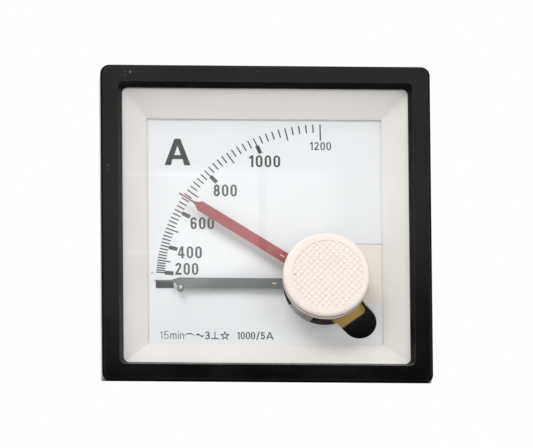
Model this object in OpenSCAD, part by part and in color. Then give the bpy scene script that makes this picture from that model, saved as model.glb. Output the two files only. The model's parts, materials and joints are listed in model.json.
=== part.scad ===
// Flush panel ammeter with a slow bimetal movement, a drag pointer that
// keeps the highest reading, and a reset knob in the middle of the window.
//
// X runs to the right and Z up as the dial is read, and +Y runs into the panel.
// The origin is the middle of the cut-out, in the plane of the panel's front face.
// Depths are measured backwards from the front of the bezel. Pointer angles are
// measured clockwise from the zero mark, which lies straight left of the pivot.

/* [Bezel] */
// Side of the square bezel
bezel_w = 72; // [68:0.5:80]
// Depth of the bezel in front of the panel
bezel_depth = 5.5; // [5.2:0.1:9]
// Radius of the bezel's corners
bezel_r = 2; // [1:0.1:3]
// Bevel round the front edge of the bezel
bezel_bevel = 0.5; // [0.2:0.1:0.9]
// Thickness of the bezel's outer wall
bezel_wall = 2.9; // [2:0.1:3.5]
// Width of the flat front face
face_w = 3.85; // [3.2:0.05:5]
// How far the inner lip slopes inwards
lip_slope = 0.95; // [0.3:0.05:1.5]
// Depth of the inner lip, in front of the window
lip_depth = 1.9; // [1:0.1:2.2]
// Corner radius of the bezel's opening
opening_r = 1.2; // [0.5:0.1:2]

/* [Window and frame] */
// Thickness of the window pane
window_t = 1.2; // [1:0.1:1.5]
// Width of each sloped side of the inner frame
frame_run = 5.55; // [4:0.05:7]
// Depth from the window down to the dial
frame_drop = 4.2; // [3.9:0.1:5]
// Thickness of the inner frame's flange
flange_t = 0.8; // [0.6:0.1:1.1]

/* [Case] */
// Thickness of the case walls
case_wall = 2; // [1.8:0.1:3]
// Length of the case behind the panel's front face
case_len = 44; // [42:1:80]
// Radius of the case's corners
case_r = 2.5; // [1.5:0.1:4]
// Radius of the four bosses inside the case
boss_r = 3.4; // [3:0.1:4.5]
// Distance of the bosses from the middle, across and up
boss_at = 26; // [24:0.5:27]

/* [Dial] */
// Thickness of the dial plate
dial_t = 0.8; // [0.5:0.1:1]
// Distance from the pivot to the dial's right edge
pivot_inset_x = 12.75; // [12:0.05:14]
// Distance from the pivot to the dial's lower edge
pivot_inset_z = 13.6; // [13:0.05:15]
// Radius of the round opening about the pivot
dial_hole_r = 8.95; // [8:0.05:9.5]
// Direction of the slot that runs from the opening, from straight right
slot_angle = -47.5; // [-52:0.5:-42]
// Half width of the slot
slot_r = 3.8; // [3:0.1:4.2]
// Distance from the pivot to the centre of the slot's round end
slot_reach = 11.1; // [10.5:0.1:11.5]
// Height of the corner cover above the pivot
cover_top = 9.58; // [9.3:0.02:12]
// Depth of the corner cover below the pivot
cover_drop = 4; // [2:0.1:5]

/* [Scale] */
// Reading at the end of the scale
full_scale = 1200; // [1000:200:2400]
// Step between numbered marks
number_step = 200; // [200:200:400]
// Step between the small marks
small_step = 20; // [20:20:40]
// Angle of the whole scale
sweep = 89; // [80:1:92]
// Exponent of the scale's law
scale_law = 1.68; // [1.3:0.02:2]
// Gap between the scale and the dial's left edge
scale_margin = 1.8; // [1.2:0.1:4]
// Length of a small mark
small_len = 1.87; // [1.5:0.01:2.5]
// Width of a small mark
small_w = 0.27; // [0.2:0.01:0.4]
// Thickness of the print
print_t = 0.04; // [0.02:0.01:0.1]

/* [Pointers] */
// Width of both pointers' blades
blade_w = 2.3; // [1.8:0.1:2.6]
// Thickness of the pointers
blade_t = 0.2; // [0.15:0.01:0.3]
// Length of the fine tip in front of the blade
tip_len = 4.8; // [3:0.1:6]
// Width of the fine tip
tip_w = 0.32; // [0.2:0.01:0.6]
// How far the main pointer's tip lies above the middle of its blade
main_tip_rise = 0.42; // [0.2:0.02:0.8]
// Reading at which the drag pointer stands
drag_reading = 656; // [300:1:1000]
// Radius of the drive pin
drive_pin_r = 0.3; // [0.2:0.01:0.4]
// Length of both pointers' tails
tail_len = 7.2; // [5:0.1:7.8]

/* [Knob] */
// Radius of the reset knob
knob_r = 9.5; // [9:0.05:10]
// Height of the reset knob
knob_h = 3.2; // [2.6:0.1:5]
// Gap between the knob and the window
knob_gap = 0.6; // [0.3:0.05:0.8]
// Radius of the knob's rounded front edge
knob_edge_r = 0.8; // [0.4:0.1:1.2]
// Radius of the spindle in the window
spindle_r = 2; // [1.8:0.05:2.4]
// Radius of the pin that carries the drag pointer
pin_r = 0.6; // [0.4:0.05:0.8]
// Angle at which the driver arm is parked
arm_park = 107.5; // [105:0.5:112]

/* [Movement] */
// Radius of the shaft
shaft_r = 0.75; // [0.6:0.05:0.9]
// Direction of the brass bridge, from straight right
bridge_angle = -54; // [-60:1:-45]
// Width of the brass bridge
bridge_w = 7.3; // [6:0.1:8.5]
// How far the bridge's arm lies above the line through the pivot
bridge_shift = 0.9; // [0:0.1:1.2]
// Thickness of the brass bridge
bridge_t = 1.2; // [0.8:0.1:1.5]
// Distance from the pivot to the bridge's free end
bridge_nose = 9.6; // [8:0.1:10]
// Width of the zero lever
lever_w = 5.6; // [4:0.1:7]
// Distance from the pivot to the pillars
pillar_at = 17; // [16:0.1:19]
// Distance between the two pillars
pillar_pitch = 12; // [10:0.5:16]
// Number of half turns in each spiral
half_turns = 9; // [5:2:9]
// Radial pitch of the spirals
spiral_pitch = 1.7; // [1.2:0.1:1.8]
// Thickness of the bimetal strip
strip_t = 0.4; // [0.25:0.05:0.6]
// Width of the measuring spiral's strip
strip_w = 6; // [4:0.5:7]

/* [Terminals and clamp pockets] */
// Radius of the terminal studs
stud_r = 2.5; // [2:0.1:3]
// Distance between the terminal studs
stud_pitch = 38; // [30:1:42]
// Length of a stud's free end behind its last nut
stud_free = 6; // [4:0.5:10]
// Thickness of the terminal nuts
nut_t = 4; // [3:0.1:5]
// Height of the wall between the terminals
barrier_h = 7; // [3:0.5:10]
// Width of the pocket for a panel clamp's hook
pocket_w = 10.2; // [6:0.2:16]
// Distance of the pockets behind the panel's front face
pocket_at = 26; // [16:1:34]
// Height of each pocket from the middle
pocket_z = 12; // [0:1:18]

/* [Hidden] */
$fn = 64;
// Clearances: parts that turn, parts that are fitted together, loose parts
turn_gap = 0.03;
fit_gap = 0.1;
loose_gap = 0.15;
slim_gap = 0.05;
over = 0.5;
skin = 0.01;

// Half widths, from the bezel inwards
bezel_half = bezel_w / 2;
pocket_half = bezel_half - bezel_wall;
case_half = pocket_half - fit_gap;
face_half = bezel_half - face_w;
opening_half = face_half - lip_slope;
dial_half = opening_half - frame_run;
plate_margin = 2.2;
plate_half = dial_half + plate_margin;
stake_at = dial_half + 1.25;
stake_r = 0.8;
stake_hole_r = stake_r + slim_gap;

// Depths, from the front of the bezel backwards
window_front = lip_depth;
window_back = window_front + window_t;
rim_front = window_back + flange_t;
dial_front = window_back + frame_drop;
dial_back = dial_front + dial_t;
case_back = bezel_depth + case_len;
floor_front = case_back - case_wall;

// Pivot
pivot_x = dial_half - pivot_inset_x;
pivot_z = pivot_inset_z - dial_half;

// Scale
scale_r = pivot_x + dial_half - scale_margin;
block_len = 1.9;
block_w = 0.85;
medium_len = 2.85;
end_len = 3.7;
zero_len = 3.9;
zero_w = 1.7;
drag_angle = mark_angle(drag_reading);

// Knob and what turns with it
knob_back = window_front - knob_gap;
knob_front = knob_back - knob_h;
knob_top_t = 1.3;
knob_wall = 1.5;
knob_boss_r = 3.6;
groove_at = 1;
groove_w = 0.12;
groove_in = 0.18;
spindle_seat = knob_front + knob_top_t;
clip_t = 0.2;
clip_front = window_back + slim_gap;
clip_groove_r = spindle_r - 0.5;
arm_t = 0.4;
arm_front = clip_front + clip_t + slim_gap;
arm_seat_r = 1.3;
arm_reach = 8;
arm_tip_w = 0.5;
washer_front = arm_front + arm_t;
drag_washer_t = 0.4;

// Drag pointer
hub_r = 1.6;
hub_step_r = 1.2;
hub_h = 1;
hub_step = 0.5;
max_hub_front = washer_front + drag_washer_t;
max_blade_back = max_hub_front + hub_step;
max_blade_front = max_blade_back - blade_t;
catch_at = 7.5;
catch_r = 0.25;
retainer_front = max_hub_front + hub_h + slim_gap;
retainer_t = 0.1;
retainer_r = 1;
spindle_back = retainer_front + retainer_t;
max_tip_r = scale_r + 0.7;

// Main pointer
main_hub_front = spindle_back + loose_gap;
main_hub_h = 1.2;
main_blade_back = main_hub_front + hub_step;
main_blade_front = main_blade_back - blade_t;
main_tip_r = scale_r + 0.35;
shoulder_r = main_tip_r - tip_len;
lug_at = shoulder_r - 0.8;
lug_drop = blade_w / 2 + 0.2;
lug_r = 0.75;
weight_at = tail_len - 1.6;
weight_r = 0.9;
weight_t = 0.6;
weight_pin_r = 0.3;
sight_at = 11;
sight_len = 1;
sight_w = 0.3;

// Movement, front to back
bush_front = dial_back + 0.1;
bush_head_t = 0.5;
lever_front = bush_front + bush_head_t;
lever_t = 0.6;
bridge_front = lever_front + lever_t;
bridge_back = bridge_front + bridge_t;
bush_back = bridge_back + 1;
bush_r = 1.9;
pillar_r = 2.5;
head_margin = 1;
bridge_tail = pillar_at + pillar_r + head_margin;
pillar_neck_r = 1.9;
pillar_hole_r = pillar_neck_r + slim_gap;
bridge_screw_r = 1;
bridge_screw_len = 4;
comp_strip_w = 4;
comp_front = bush_back + 1;
comp_back = comp_front + comp_strip_w;
spiral_start = 3;
spiral_out = spiral_start + (half_turns - 1) * spiral_pitch / 2;
collet_r = spiral_start - strip_t / 2 - 0.1;
comp_space = 3.5;
shield_front = comp_back + comp_space;
shield_t = 0.6;
shield_back = shield_front + shield_t;
shield_r = spiral_out + 1.5;
meas_space = 3;
meas_front = shield_back + meas_space;
meas_back = meas_front + strip_w;
plate_front = meas_back + meas_space;
plate_t = 3;
plate_back = plate_front + plate_t;
plate_half_w = boss_at + boss_r - 0.4;
plate_screw_r = 1.4;
plate_screw_len = 8;
plate_hole_r = plate_screw_r + 0.2;
pillar_foot_r = 1.3;
rear_screw_r = 2.2;
rear_pin_r = 0.4;
rear_pin_len = 1.2;
lock_nut_r = 3.8;
lock_nut_t = 1.8;
rear_screw_front = plate_front - 1;
rear_screw_out = 3;
rear_screw_back = plate_back + rear_screw_out;
shaft_back = rear_screw_front - 0.3;
post_r = 1.2;
post_foot_r = 0.6;

// Terminals
stud_end_r = stud_r - 0.3;
washer_t = 1;
spring_t = 1.2;
strap_t = 0.8;
strap_w = 7;
stud_head_t = 3;
stud_head_r = 4.6;
nut_r = stud_r * 1.85;
stud_hole_r = stud_r + fit_gap;
inner_nut_front = case_back + washer_t;
outer_washer_front = inner_nut_front + nut_t;
outer_nut_front = outer_washer_front + washer_t + spring_t;
stud_shoulder = outer_nut_front + nut_t;
stud_back = stud_shoulder + stud_free;

// Pockets for the panel clamps
pocket_h = 1.6;
pocket_depth = 1.3;

// Angle of a reading on the scale
function mark_angle(reading) = sweep * pow(reading / full_scale, scale_law);

// Flat shape, drawn as seen from the front, between two depths
module layer(front, back) {
    translate([0, back - bezel_depth, 0])
        rotate([90, 0, 0])
            linear_extrude(height = back - front)
                children();
}

// Round rod along the depth
module rod(front, back, r) {
    translate([0, front - bezel_depth, 0])
        rotate([-90, 0, 0])
            cylinder(h = back - front, r = r);
}

// Round tube along the depth
module tube(front, back, outer, inner) {
    difference() {
        rod(front, back, outer);
        rod(front - over, back + over, inner);
    }
}

// Solid turned about the depth axis, from points of radius and depth
module turned(points) {
    translate([0, -bezel_depth, 0])
        rotate([-90, 0, 0])
            rotate_extrude()
                polygon(points);
}

module at_pivot() {
    translate([pivot_x, 0, pivot_z])
        children();
}

// Turns a flat shape or a solid to a pointer angle
module aim(angle) {
    rotate([0, angle, 0])
        children();
}

module rounded_square(half, r) {
    square([2 * (half - r), 2 * half], center = true);
    square([2 * half, 2 * (half - r)], center = true);
    for (x = [-1, 1], y = [-1, 1])
        translate([x * (half - r), y * (half - r)])
            circle(r = r);
}

// Square pyramid stub between two depths, for bevels and slopes
module square_taper(front, back, half_front, half_back, r_front, r_back) {
    hull() {
        layer(front, front + skin)
            rounded_square(half_front, r_front, $fn = 32);
        layer(back - skin, back)
            rounded_square(half_back, r_back, $fn = 32);
    }
}

module hex(front, back, r) {
    layer(front, back)
        circle(r = r, $fn = 6);
}

// Pan head screw with a slot, head in front
module slotted_screw(head_front, head_t, head_r, tip, r) {
    slot_t = head_t * 0.4;
    slot_w = head_r * 0.25;
    difference() {
        union() {
            rod(head_front, head_front + head_t, head_r);
            rod(head_front + head_t, tip, r);
        }
        layer(head_front - over, head_front + slot_t)
            square([3 * head_r, slot_w], center = true);
    }
}

module bezel() {
    color([0.13, 0.14, 0.15])
        difference() {
            union() {
                square_taper(0, bezel_bevel, bezel_half - bezel_bevel, bezel_half, bezel_r, bezel_r);
                layer(bezel_bevel, bezel_depth)
                    rounded_square(bezel_half, bezel_r);
            }
            square_taper(0, lip_depth, face_half, opening_half, opening_r, opening_r);
            layer(-over, over)
                rounded_square(opening_half, opening_r);
            layer(lip_depth, bezel_depth + over)
                rounded_square(pocket_half, opening_r);
            for (k = [0:3])
                rotate([0, 90 * k, 0])
                    snap_lug(fit_gap);
        }
}

// Snap between case and bezel: the lug, or its pocket when grown by a gap
module snap_lug(gap) {
    lug_w = 10;
    lug_h = 0.5;
    lug_t = 0.9;
    lug_front = rim_front + 0.4;
    translate([-lug_w / 2 - gap, lug_front - gap - bezel_depth, case_half - over])
        cube([lug_w + 2 * gap, lug_t + 2 * gap, over + lug_h + gap]);
}

module window() {
    color([0.85, 0.92, 0.95, 0.35])
        difference() {
            layer(window_front, window_back)
                rounded_square(case_half, opening_r);
            at_pivot()
                rod(window_front - over, window_back + over, spindle_r + turn_gap);
        }
}

module stake_places() {
    for (x = [-1, 1], z = [-1, 1])
        translate([x * stake_at, 0, z * stake_at])
            children();
    translate([stake_at, 0, pivot_z + cover_top / 2])
        children();
}

module inner_frame() {
    lip_t = 0.2;
    wall_half = opening_half - 0.8;
    rebate_w = 0.4;
    rebate_t = 0.35;
    head_back = dial_back + 0.6;
    head_r = stake_r + 0.4;
    corner_r = 0.3;
    color([0.89, 0.87, 0.85])
        difference() {
            union() {
                layer(window_back, rim_front)
                    rounded_square(case_half, opening_r);
                layer(window_back, dial_front)
                    square(2 * wall_half, center = true);
                stake_places() {
                    rod(dial_front, head_back, stake_r);
                    rod(dial_back, head_back, head_r);
                }
            }
            square_taper(window_back - skin, dial_front - rebate_t - lip_t,
                opening_half, dial_half, corner_r, corner_r);
            layer(dial_front - lip_t - rebate_t - skin, dial_front + over)
                square(2 * dial_half, center = true);
            layer(dial_front - rebate_t, dial_front + over)
                square(2 * (dial_half + rebate_w), center = true);
        }
}

// The keyhole: a round opening and a slot with a round end
module keyhole(grow) {
    translate([pivot_x, pivot_z]) {
        circle(r = dial_hole_r + grow);
        rotate(slot_angle) {
            translate([0, -slot_r - grow])
                square([slot_reach, 2 * (slot_r + grow)]);
            translate([slot_reach, 0])
                circle(r = slot_r + grow);
        }
    }
}

// Corner of the dial that is left to the cover
module cover_area(shrink) {
    translate([pivot_x, pivot_z - cover_drop])
        square([plate_half - pivot_x, cover_top + cover_drop - shrink]);
}

module dial_plate() {
    color([0.9, 0.92, 0.93])
        difference() {
            layer(dial_front, dial_back)
                difference() {
                    square(2 * plate_half, center = true);
                    keyhole(0);
                    cover_area(0);
                }
            stake_places()
                rod(dial_front - over, dial_back + over, stake_hole_r);
        }
}

module corner_cover() {
    color([0.91, 0.88, 0.84])
        difference() {
            layer(dial_front, dial_back)
                difference() {
                    cover_area(fit_gap);
                    keyhole(fit_gap);
                }
            stake_places()
                rod(dial_front - over, dial_back + over, stake_hole_r);
        }
}

// One mark of the scale: its outer end, length and width
module mark(angle, outer, len, w) {
    rotate(-angle)
        translate([-outer, -w / 2])
            square([len, w]);
}

module scale_marks() {
    color([0.33, 0.35, 0.36])
        at_pivot()
            layer(dial_front - print_t, dial_front) {
                mark(0, scale_r, zero_len, zero_w);
                for (reading = [number_step:small_step:full_scale - small_step])
                    mark(mark_angle(reading), scale_r,
                        reading % (number_step / 2) == 0 && reading % number_step != 0
                            ? medium_len : small_len, small_w);
                for (reading = [number_step:number_step:full_scale - number_step])
                    mark(mark_angle(reading), scale_r - small_len + skin, block_len, block_w);
                mark(sweep, scale_r, end_len, small_w);
            }
}

module case() {
    inner_r = case_r - 1.2;
    pilot_back = plate_back + plate_screw_len + 2;
    color([0.09, 0.09, 0.1])
        difference() {
            union() {
                difference() {
                    layer(rim_front, case_back)
                        rounded_square(case_half, case_r);
                    layer(rim_front - over, floor_front)
                        rounded_square(case_half - case_wall, inner_r);
                }
                for (x = [-1, 1], z = [-1, 1])
                    translate([x * boss_at, 0, z * boss_at])
                        rod(plate_back, floor_front + over, boss_r);
                for (k = [0:3])
                    rotate([0, 90 * k, 0])
                        snap_lug(0);
                barrier();
            }
            for (x = [-1, 1], z = [-1, 1])
                translate([x * boss_at, 0, z * boss_at])
                    rod(plate_back - over, pilot_back, plate_screw_r);
            for (x = [-1, 1])
                translate([x * stud_pitch / 2, 0, 0])
                    rod(floor_front - over, case_back + over, stud_hole_r);
            for (side = [0, 1])
                rotate([0, 180 * side, 0])
                    clamp_pocket();
        }
}

// Wall between the terminals and round their sides
module barrier() {
    wall = case_wall;
    wing = 11;
    layer(case_back - over, case_back + barrier_h) {
        square([wall, 2 * wing], center = true);
        for (x = [-1, 1])
            translate([x * (stud_pitch / 2 + wing), 0])
                square([wall, 2 * wing], center = true);
    }
}

// Pocket in the case wall for the hook of a panel clamp
module clamp_pocket() {
    translate([case_half - pocket_depth, pocket_at, -pocket_z - pocket_w / 2])
        cube([pocket_depth + over, pocket_h, pocket_w]);
}

module reset_knob() {
    body_r = knob_r - knob_edge_r;
    color([0.95, 0.91, 0.88])
        at_pivot()
            difference() {
                union() {
                    rod(knob_front + knob_edge_r, knob_back, knob_r);
                    rod(knob_front, knob_back, body_r);
                    translate([0, knob_front + knob_edge_r - bezel_depth, 0])
                        rotate([-90, 0, 0])
                            rotate_extrude()
                                translate([body_r, 0])
                                    circle(r = knob_edge_r);
                }
                turned([[knob_r - groove_in, knob_front + groove_at - groove_w],
                    [knob_r + over, knob_front + groove_at - groove_w],
                    [knob_r + over, knob_front + groove_at + groove_w],
                    [knob_r - groove_in, knob_front + groove_at + groove_w]]);
                tube(knob_front + knob_top_t, knob_back + over, knob_r - knob_wall, knob_boss_r);
                rod(spindle_seat, knob_back + over, spindle_r);
            }
}

module knob_spindle() {
    color([0.8, 0.66, 0.35])
        at_pivot()
            turned([[0, spindle_seat], [spindle_r, spindle_seat],
                [spindle_r, clip_front], [clip_groove_r, clip_front],
                [clip_groove_r, clip_front + clip_t], [spindle_r, clip_front + clip_t],
                [spindle_r, arm_front], [arm_seat_r, arm_front],
                [arm_seat_r, washer_front], [pin_r, washer_front],
                [pin_r, spindle_back], [0, spindle_back]]);
}

module knob_spring_washer() {
    inner = spindle_r + fit_gap;
    outer = knob_boss_r - fit_gap;
    thick = 0.2;
    color([0.6, 0.6, 0.62])
        at_pivot()
            turned([[inner, knob_back], [inner + thick, knob_back],
                [outer, window_front - thick], [outer, window_front],
                [outer - thick, window_front], [inner, knob_back + thick]]);
}

module retaining_clip() {
    gap_w = 2 * clip_groove_r - 0.6;
    clip_r = spindle_r + 0.9;
    color([0.55, 0.56, 0.58])
        at_pivot()
            layer(clip_front, clip_front + clip_t)
                difference() {
                    circle(r = clip_r);
                    circle(r = clip_groove_r);
                    translate([0, -gap_w / 2])
                        square([2 * clip_r, gap_w]);
                }
}

module driver_arm() {
    root_w = 2;
    eye_r = arm_seat_r + 1.1;
    color([0.2, 0.2, 0.21])
        at_pivot()
            aim(arm_park)
                layer(arm_front, washer_front)
                    difference() {
                        union() {
                            circle(r = eye_r);
                            polygon([[0, -root_w / 2], [0, root_w / 2],
                                [-arm_reach, arm_tip_w / 2], [-arm_reach, -arm_tip_w / 2]]);
                        }
                        circle(r = arm_seat_r);
                    }
}

module hub_retainer() {
    color([0.8, 0.66, 0.35])
        at_pivot()
            tube(retainer_front, spindle_back, retainer_r, pin_r);
}

module drag_washer() {
    color([0.7, 0.7, 0.72])
        at_pivot()
            tube(washer_front, max_hub_front, hub_step_r, pin_r + turn_gap);
}

// Hub with a step that the pointer is staked on
module pointer_hub(front, len, bore) {
    difference() {
        union() {
            rod(front, front + len, hub_step_r);
            rod(front + hub_step, front + len, hub_r);
        }
        rod(front - over, front + len + over, bore);
    }
}

// Pointer drawn towards zero: tail, round hub, blade, shoulder and fine tip
module pointer_shape(tip_r, rise) {
    taper = 1.3;
    blade_end = tip_r - tip_len;
    half = blade_w / 2;
    difference() {
        union() {
            circle(r = hub_r + 0.8);
            translate([0, -half])
                square([tail_len, blade_w]);
            polygon([[0, -half], [-blade_end + taper * 0.4, -half],
                [-blade_end - taper * 0.2, rise - tip_w * 1.5],
                [-blade_end - taper, rise - tip_w / 2], [-tip_r, rise - tip_w / 2],
                [-tip_r, rise + tip_w / 2], [-blade_end - taper, rise + tip_w / 2],
                [-blade_end - taper * 0.2, rise + tip_w * 1.5 > half ? half : rise + tip_w * 1.5],
                [-blade_end + taper * 0.4, half], [0, half]]);
        }
        circle(r = hub_step_r);
        translate([-sight_at - sight_len / 2, -sight_w / 2])
            square([sight_len, sight_w]);
    }
}

module max_pointer() {
    color([0.66, 0.3, 0.34])
        at_pivot()
            aim(drag_angle)
                layer(max_blade_front, max_blade_back)
                    difference() {
                        pointer_shape(max_tip_r, 0);
                        translate([-catch_at, 0])
                            circle(r = catch_r);
                    }
}

module max_hub() {
    color([0.8, 0.66, 0.35])
        at_pivot()
            pointer_hub(max_hub_front, hub_h, pin_r + turn_gap);
}

module max_catch() {
    color([0.8, 0.8, 0.82])
        at_pivot()
            aim(drag_angle)
                translate([-catch_at, 0, 0])
                    rod(arm_front + slim_gap, max_blade_back, catch_r);
}

module main_pointer() {
    color([0.35, 0.37, 0.38])
        at_pivot()
            layer(main_blade_front, main_blade_back)
                difference() {
                    union() {
                        pointer_shape(main_tip_r, main_tip_rise);
                        translate([-lug_at, -lug_drop])
                            circle(r = lug_r);
                    }
                    translate([-lug_at, -lug_drop])
                        circle(r = drive_pin_r);
                    translate([weight_at, 0])
                        circle(r = weight_pin_r);
                }
}

module main_hub() {
    color([0.8, 0.66, 0.35])
        at_pivot()
            pointer_hub(main_hub_front, main_hub_h, shaft_r);
}

module drive_pin() {
    color([0.75, 0.76, 0.78])
        at_pivot()
            translate([-lug_at, 0, -lug_drop])
                rod(max_blade_front - blade_t, main_blade_back, drive_pin_r);
}

module balance_weights() {
    color([0.78, 0.64, 0.34])
        at_pivot()
            translate([weight_at, 0, 0]) {
                rod(main_blade_back, main_blade_back + weight_t, weight_r);
                rod(main_blade_front, main_blade_back, weight_pin_r);
            }
}

module shaft() {
    color([0.7, 0.71, 0.73])
        at_pivot() {
            rod(main_hub_front, shaft_back, shaft_r);
            rod(shaft_back, rear_screw_front + rear_pin_len, rear_pin_r);
        }
}

module spiral_collets() {
    color([0.8, 0.66, 0.35])
        at_pivot() {
            tube(comp_front, comp_back, collet_r, shaft_r);
            tube(meas_front, meas_back, collet_r, shaft_r);
        }
}

// Places of the two pillars, up and to the left of the pivot
module pillar_places() {
    at_pivot()
        aim(-bridge_angle)
            for (side = [-1, 1])
                translate([-pillar_at, 0, side * pillar_pitch / 2])
                    children();
}

module bridge() {
    nose_r = 1;
    head_r = 2;
    head_half = pillar_pitch / 2 + pillar_r + head_margin;
    head_front = pillar_at - pillar_r - head_margin;
    color([0.83, 0.68, 0.33])
        difference() {
            at_pivot()
                aim(-bridge_angle)
                    layer(bridge_front, bridge_back) {
                        translate([0, bridge_shift]) {
                            translate([-pillar_at, -bridge_w / 2])
                                square([pillar_at + bridge_nose - nose_r, bridge_w]);
                            translate([0, -bridge_w / 2 + nose_r])
                                square([bridge_nose, bridge_w - 2 * nose_r]);
                            for (side = [-1, 1])
                                translate([bridge_nose - nose_r, side * (bridge_w / 2 - nose_r)])
                                    circle(r = nose_r);
                        }
                        translate([-bridge_tail, -head_half + head_r])
                            square([bridge_tail - head_front, 2 * (head_half - head_r)]);
                        translate([-bridge_tail + head_r, -head_half])
                            square([bridge_tail - head_front - 2 * head_r, 2 * head_half]);
                        for (x = [-bridge_tail + head_r, -head_front - head_r], side = [-1, 1])
                            translate([x, side * (head_half - head_r)])
                                circle(r = head_r);
                    }
            at_pivot()
                rod(bridge_front - over, bridge_back + over, bush_r);
            pillar_places()
                rod(bridge_front - over, bridge_back + over, bridge_screw_r + fit_gap);
        }
}

module front_bush() {
    color([0.78, 0.62, 0.3])
        at_pivot()
            difference() {
                union() {
                    rod(bush_front, lever_front, bush_r + 1.1);
                    rod(bush_front, bush_back, bush_r);
                }
                rod(bush_front - over, bush_back + over, shaft_r + turn_gap);
            }
}

module zero_lever() {
    reach = 15.5;
    ring = 1.6;
    color([0.6, 0.62, 0.62])
        at_pivot()
            aim(slot_angle)
                difference() {
                    layer(lever_front, lever_front + lever_t) {
                        translate([-reach, -lever_w / 2])
                            square([reach, lever_w]);
                        translate([-reach, 0])
                            circle(r = lever_w / 2);
                        circle(r = bush_r + ring);
                    }
                    rod(lever_front - over, lever_front + lever_t + over, bush_r + turn_gap);
                    translate([-spiral_out, 0, 0])
                        rod(lever_front - over, lever_front + lever_t + over, post_foot_r);
                }
}

// Post whose slot holds the outer end of a spiral
module slotted_post(front, back, strip_front, strip_back) {
    difference() {
        translate([-spiral_out, 0, 0])
            rod(front, back, post_r);
        tube(strip_front, strip_back, spiral_out + strip_t / 2, spiral_out - strip_t / 2);
    }
}

module zero_post() {
    color([0.8, 0.66, 0.35])
        at_pivot()
            aim(slot_angle) {
                translate([-spiral_out, 0, 0])
                    rod(lever_front, lever_front + lever_t + over, post_foot_r);
                slotted_post(lever_front + lever_t, comp_back, comp_front, comp_back + over);
            }
}

module bridge_screws() {
    head_t = 0.9;
    head_r = 1.9;
    color([0.7, 0.71, 0.72])
        pillar_places()
            slotted_screw(bridge_front - head_t, head_t, head_r,
                bridge_back + bridge_screw_len, bridge_screw_r);
}

module shield_spacers() {
    color([0.72, 0.72, 0.74])
        pillar_places()
            tube(bridge_back, shield_front, pillar_r, pillar_hole_r);
}

module bridge_pillars() {
    tap_back = bridge_back + bridge_screw_len + 0.5;
    color([0.8, 0.66, 0.35])
        pillar_places()
            difference() {
                union() {
                    rod(bridge_back, plate_back, pillar_foot_r);
                    rod(bridge_back, plate_front, pillar_neck_r);
                    rod(shield_back, plate_front, pillar_r);
                }
                rod(bridge_back - over, tap_back, bridge_screw_r);
            }
}

module heat_shield() {
    shaft_hole_r = shaft_r + 0.6;
    margin = pillar_r + 0.7;
    color([0.78, 0.79, 0.8])
        difference() {
            at_pivot()
                layer(shield_front, shield_back) {
                    circle(r = shield_r);
                    rotate(bridge_angle)
                        translate([-pillar_at - margin, -pillar_pitch / 2 - margin])
                            square([pillar_at, pillar_pitch + 2 * margin]);
                }
            at_pivot()
                rod(shield_front - over, shield_back + over, shaft_hole_r);
            pillar_places()
                rod(shield_front - over, shield_back + over, pillar_hole_r);
        }
}

// Flat spiral of half rings whose radii grow by half a pitch
module spiral(front, strip) {
    translate([0, front - bezel_depth, 0])
        rotate([-90, 0, 0])
            for (k = [0:half_turns - 1])
                translate([k % 2 == 0 ? 0 : spiral_pitch / 2, 0, 0])
                    rotate([0, 0, 180 * (k % 2)])
                        rotate_extrude(angle = 180)
                            translate([spiral_start + k * spiral_pitch / 2 - strip_t / 2, 0])
                                square([strip_t, strip]);
}

module compensating_spiral() {
    color([0.62, 0.6, 0.58])
        at_pivot()
            aim(slot_angle)
                spiral(comp_front, comp_strip_w);
}

module measuring_spiral() {
    color([0.66, 0.58, 0.48])
        at_pivot()
            spiral(meas_front, strip_w);
}

module current_post() {
    color([0.8, 0.66, 0.35])
        at_pivot()
            slotted_post(meas_front, plate_front, meas_front - over, meas_back);
}

module movement_plate() {
    color([0.16, 0.15, 0.14])
        difference() {
            layer(plate_front, plate_back)
                rounded_square(plate_half_w, 3);
            for (x = [-1, 1], z = [-1, 1])
                translate([x * boss_at, 0, z * boss_at])
                    rod(plate_front - over, plate_back + over, plate_hole_r);
            pillar_places()
                rod(plate_front - over, plate_back + over, pillar_foot_r);
            at_pivot()
                rod(plate_front - over, plate_back + over, rear_screw_r);
        }
}

module plate_screws() {
    head_t = 1.8;
    head_r = 2.6;
    color([0.7, 0.71, 0.72])
        for (x = [-1, 1], z = [-1, 1])
            translate([x * boss_at, 0, z * boss_at])
                slotted_screw(plate_front - head_t, head_t, head_r,
                    plate_back + plate_screw_len, plate_screw_r);
}

module rear_bearing() {
    hole_depth = rear_pin_len + 0.3;
    slot_t = 0.8;
    slot_w = 0.6;
    color([0.8, 0.66, 0.35])
        at_pivot()
            difference() {
                rod(rear_screw_front, rear_screw_back, rear_screw_r);
                rod(rear_screw_front - over, rear_screw_front + hole_depth,
                    rear_pin_r + turn_gap);
                layer(rear_screw_back - slot_t, rear_screw_back + over)
                    square([3 * rear_screw_r, slot_w], center = true);
            }
}

module rear_lock_nut() {
    color([0.76, 0.62, 0.32])
        at_pivot()
            difference() {
                hex(plate_back, plate_back + lock_nut_t, lock_nut_r);
                rod(plate_back - over, plate_back + lock_nut_t + over, rear_screw_r);
            }
}

module stud_places() {
    for (x = [-1, 1])
        translate([x * stud_pitch / 2, 0, 0])
            children();
}

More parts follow.
